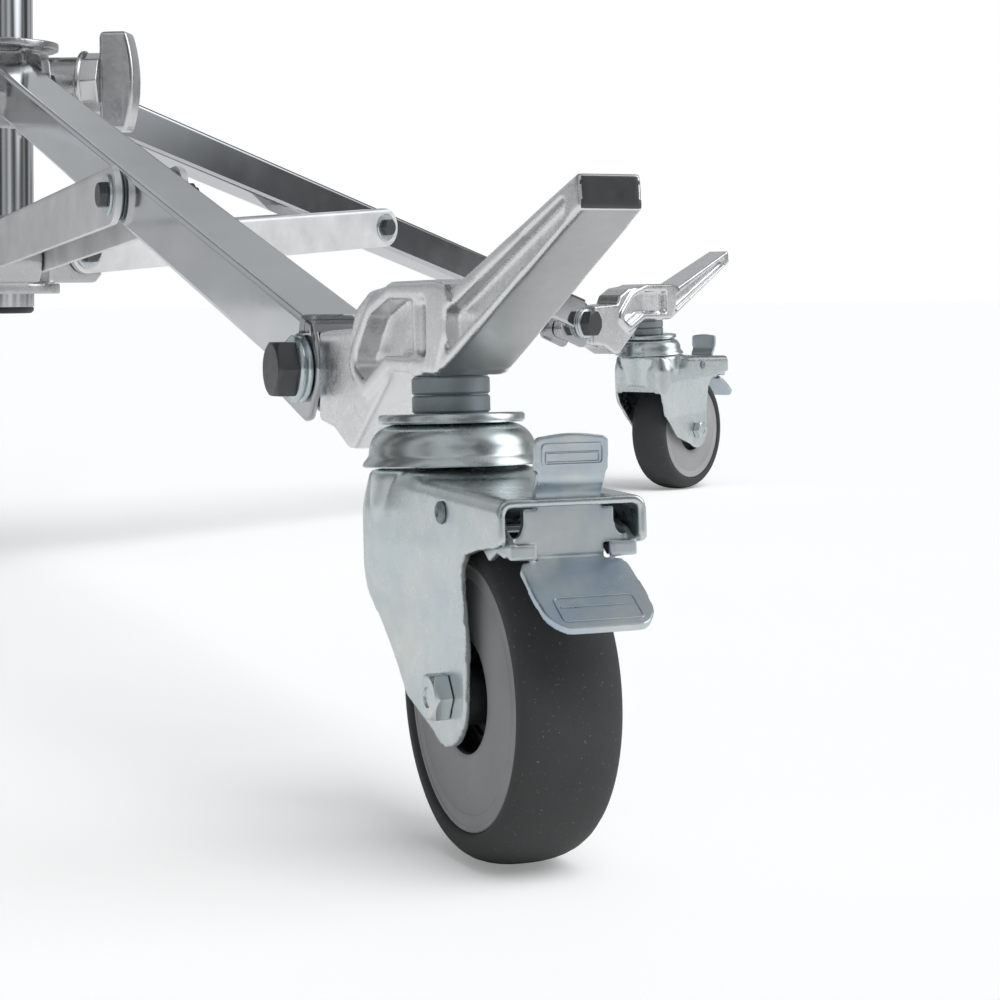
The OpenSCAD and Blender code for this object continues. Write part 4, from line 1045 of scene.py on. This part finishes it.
def clampPiece(name, gripped, guided, grip, rest, body, node):
    outer, over, lip = gripped + clamp["wall"], clamp["over"], clamp["lip"]
    boltZ = rest + over / 2
    made = lathe(name, [(guided - 1, rest - grip), (outer + 2, rest - grip), (outer + 2, rest - grip + lip),
                        (outer, rest - grip + lip), (outer, rest + over - lip),
                        (outer + 2, rest + over - lip), (outer + 2, rest + over),
                        (guided - 1, rest + over)], 128)
    extras = [move(rod("boss", clamp["boss"], guided + 3, outer + clamp["bossLength"], (0, boltZ), "front"),
                   turnZ(screw["turn"]))]
    for turn in (180, 300):
        rib = slab("rib", [(outer - 1, rest + 2 - grip), (outer + 2.5, rest + 2 - grip),
                           (outer + 2.5, rest + over - 2), (outer - 1, rest + over - 2)], -2.5, 2.5)
        extras.append(move(rib, turnZ(turn)))
    carve(made, *extras, operation="UNION")
    carve(made, rod("grip", gripped + 0.05, rest - grip - 5, rest, face="top", count=128),
          rod("guide", guided, rest - 5, rest + over + 5, face="top", count=128), screwHole(boltZ))
    finishCasting(made, name, body, node)


clampPiece("columnClamp", wide, tube["riser1"] + 0.5, clamp["grip"], columnTop, "column", "column_clamp")
clampPiece("riserClamp", tube["riser1"], tube["riser2"] + 0.5, clamp["grip"] - 4, riser1Top, "lower_riser",
           "riser_clamp")

outer = tube["riser2"] + clamp["wall"]
socketScrew = socketTop - 30
head = lathe("topSocket", [(10, socketRest), (outer, socketRest), (outer, socketTop - 8),
                           (outer + 2, socketTop - 8), (outer + 2, socketTop), (10, socketTop)], 128)
boss = rod("boss", clamp["boss"], tube["socket"] + 3, outer + clamp["bossLength"], (0, socketScrew), "front")
carve(head, move(boss, turnZ(screw["turn"])), rod("core", 12, socketRest, socketTop, face="top"),
      operation="UNION")
carve(head, rod("seat", tube["riser2"] + 0.05, socketRest - 5, riser2Top, face="top", count=128),
      rod("socket", tube["socket"], socketFloor, socketTop + 5, face="top", count=96), screwHole(socketScrew))
finishCasting(head, "topSocket", "upper_riser", "top_socket")
print("column made")


# Clamping handles: screw, eight-sided hub with a ring, and a bowed bar

handle = {"hub": 35.0, "hubLength": 13.0, "ring": 18.6, "bar": 58.0, "half": 9.5, "thick": 20.0, "bow": 95.0,
          "soft": 3.0}


def handlePiece(name, tip, face, z, body, node):
    start, bar, bow = face + clamp["gap"], handle["bar"] / 2, handle["bow"]
    inner, crest = face + handle["hubLength"], face + handle["hubLength"] + handle["thick"]
    facets = [(handle["hub"] / 2 * degCos(45 * n), handle["hub"] / 2 * degSin(45 * n)) for n in range(8)]
    hubPart = slab("hubPart", facets, start + 1, inner, "front")
    rounding(hubPart, 1.2, 3, 30)
    ring = lathe("ring", [(8, start), (handle["ring"] - 0.8, start), (handle["ring"], start + 0.8),
                          (handle["ring"], start + 2), (handle["ring"] - 0.8, start + 2.8),
                          (8, start + 2.8)], 96)
    move(ring, Matrix.Rotation(math.pi / 2, 4, "Y"))
    arch = [(crest - bow + bow * degCos(a), bow * degSin(a))
            for a in (-17.8, -15, -12, -8, -4, 0, 4, 8, 12, 15, 17.8)]
    profile = [(inner - 0.5, -bar)] + arch + [(inner - 0.5, bar)]
    grip = slab("grip", fillet(profile, {0: 3.5, 1: 3, 11: 3, 12: 3.5}, 4), -handle["half"], handle["half"])
    rounding(grip, handle["soft"], 5, 60)
    spindle = rod("spindle", screw["radius"], tip, start + 1, face="front")
    rounding(spindle, 0.6, 2, 50)
    whole = join(name, spindle, hubPart, ring, grip)
    smooth(whole, 35)
    placeOnColumn(whole, name, body, "handle_metal", node, where=turnZ(screw["turn"]) @ shift(0, 0, z))


handlePiece("collarHandle", wide + clamp["gap"], collar["bossFace"], screwZ, "collar_screw", "collar_handle")
handlePiece("columnHandle", tube["riser1"] + clamp["gap"], wide + clamp["wall"] + clamp["bossLength"],
            columnTop + clamp["over"] / 2, "column_screw", "column_handle")
handlePiece("riserHandle", tube["riser2"] + clamp["gap"],
            tube["riser1"] + clamp["wall"] + clamp["bossLength"], riser1Top + clamp["over"] / 2,
            "riser_screw", "riser_handle")
handlePiece("topHandle", tube["socket"] + clamp["gap"], outer + clamp["bossLength"], socketScrew, "top_screw",
            "top_handle")
print("handles made")


# Floor, lights and camera

studio = {"floorSize": 40.0, "floorTone": 0.84, "glow": 0.24, "sun": 2.0, "sunAngle": 42.0,
          "sunFrom": (15.0, 50.0), "skyTint": (0.95, 0.98, 1.0, 1), "skyLow": 0.06, "skyHigh": 0.5,
          "drape": (2.3, 2.3, 0.5), "drapeEdge": (0.42, 0.58), "panel": 1.9, "panelFrom": (0.30, 0.83, 0.48),
          "panelEdge": (0.90, 0.97)}

bpy.ops.object.select_all(action="DESELECT")
bpy.ops.mesh.primitive_plane_add(size=studio["floorSize"], location=(0, 0, 0))
floor = bpy.context.object
floor.name = "floor"
f = Finish("paleFloor")
lit = f.node("ShaderNodeBsdfDiffuse", values={"Color": grey(studio["floorTone"])})
glow = f.node("ShaderNodeEmission", values={"Color": grey(1.0), "Strength": studio["glow"]})
seen = f.node("ShaderNodeLightPath", output="Is Camera Ray")
both = f.node("ShaderNodeAddShader", values={0: lit, 1: glow})
f.tree.links.new(f.node("ShaderNodeMixShader", values={0: seen, 1: lit, 2: both}).socket,
                 f.output.inputs["Surface"])
floor.data.materials.append(f.material)

bpy.context.scene.world = bpy.data.worlds.new("studio")
f = Finish("studio", bpy.context.scene.world)
drapes = f.noise(1.0, 1.5, 0.5, f.stretch(studio["drape"]))
patches = f.ramp(drapes, *studio["drapeEdge"], studio["skyLow"], studio["skyHigh"])
facing = f.node("ShaderNodeVectorMath", {"operation": "DOT_PRODUCT"},
                {0: f.coordinates, 1: studio["panelFrom"]}, "Value")
panel = f.ramp(facing, *studio["panelEdge"], 0.0, studio["panel"])
dim = f.node("ShaderNodeBackground", values={"Color": studio["skyTint"], "Strength": patches + panel})
white = f.node("ShaderNodeBackground", values={"Color": grey(1.0), "Strength": 1.0})
seen = f.node("ShaderNodeLightPath", output="Is Camera Ray")
f.tree.links.new(f.node("ShaderNodeMixShader", values={0: seen, 1: dim, 2: white}).socket,
                 f.output.inputs["Surface"])

turn, rise = studio["sunFrom"]
bpy.ops.object.light_add(type="SUN", rotation=(math.radians(90 - rise), 0, math.radians(90 + turn)))
lamp = bpy.context.object
lamp.name = "softKey"
lamp.data.energy, lamp.data.angle = studio["sun"], math.radians(studio["sunAngle"])
lamp.visible_glossy = False

camera = {"lens": 85.43, "place": (1.19901, -0.28355, 0.16980), "view": 156.45, "roll": 0.0052,
          "horizon": 0.28807}
bpy.ops.object.camera_add(location=camera["place"],
                          rotation=(math.pi / 2, camera["roll"], math.radians(camera["view"] - 90)))
eye = bpy.context.object
eye.data.lens = camera["lens"]
eye.data.sensor_width = 36.0
eye.data.clip_start = 0.02
eye.data.shift_y = camera["horizon"] - 0.5
bpy.context.scene.camera = eye
bpy.context.scene.view_settings.view_transform = "Standard"
print("studio ready")
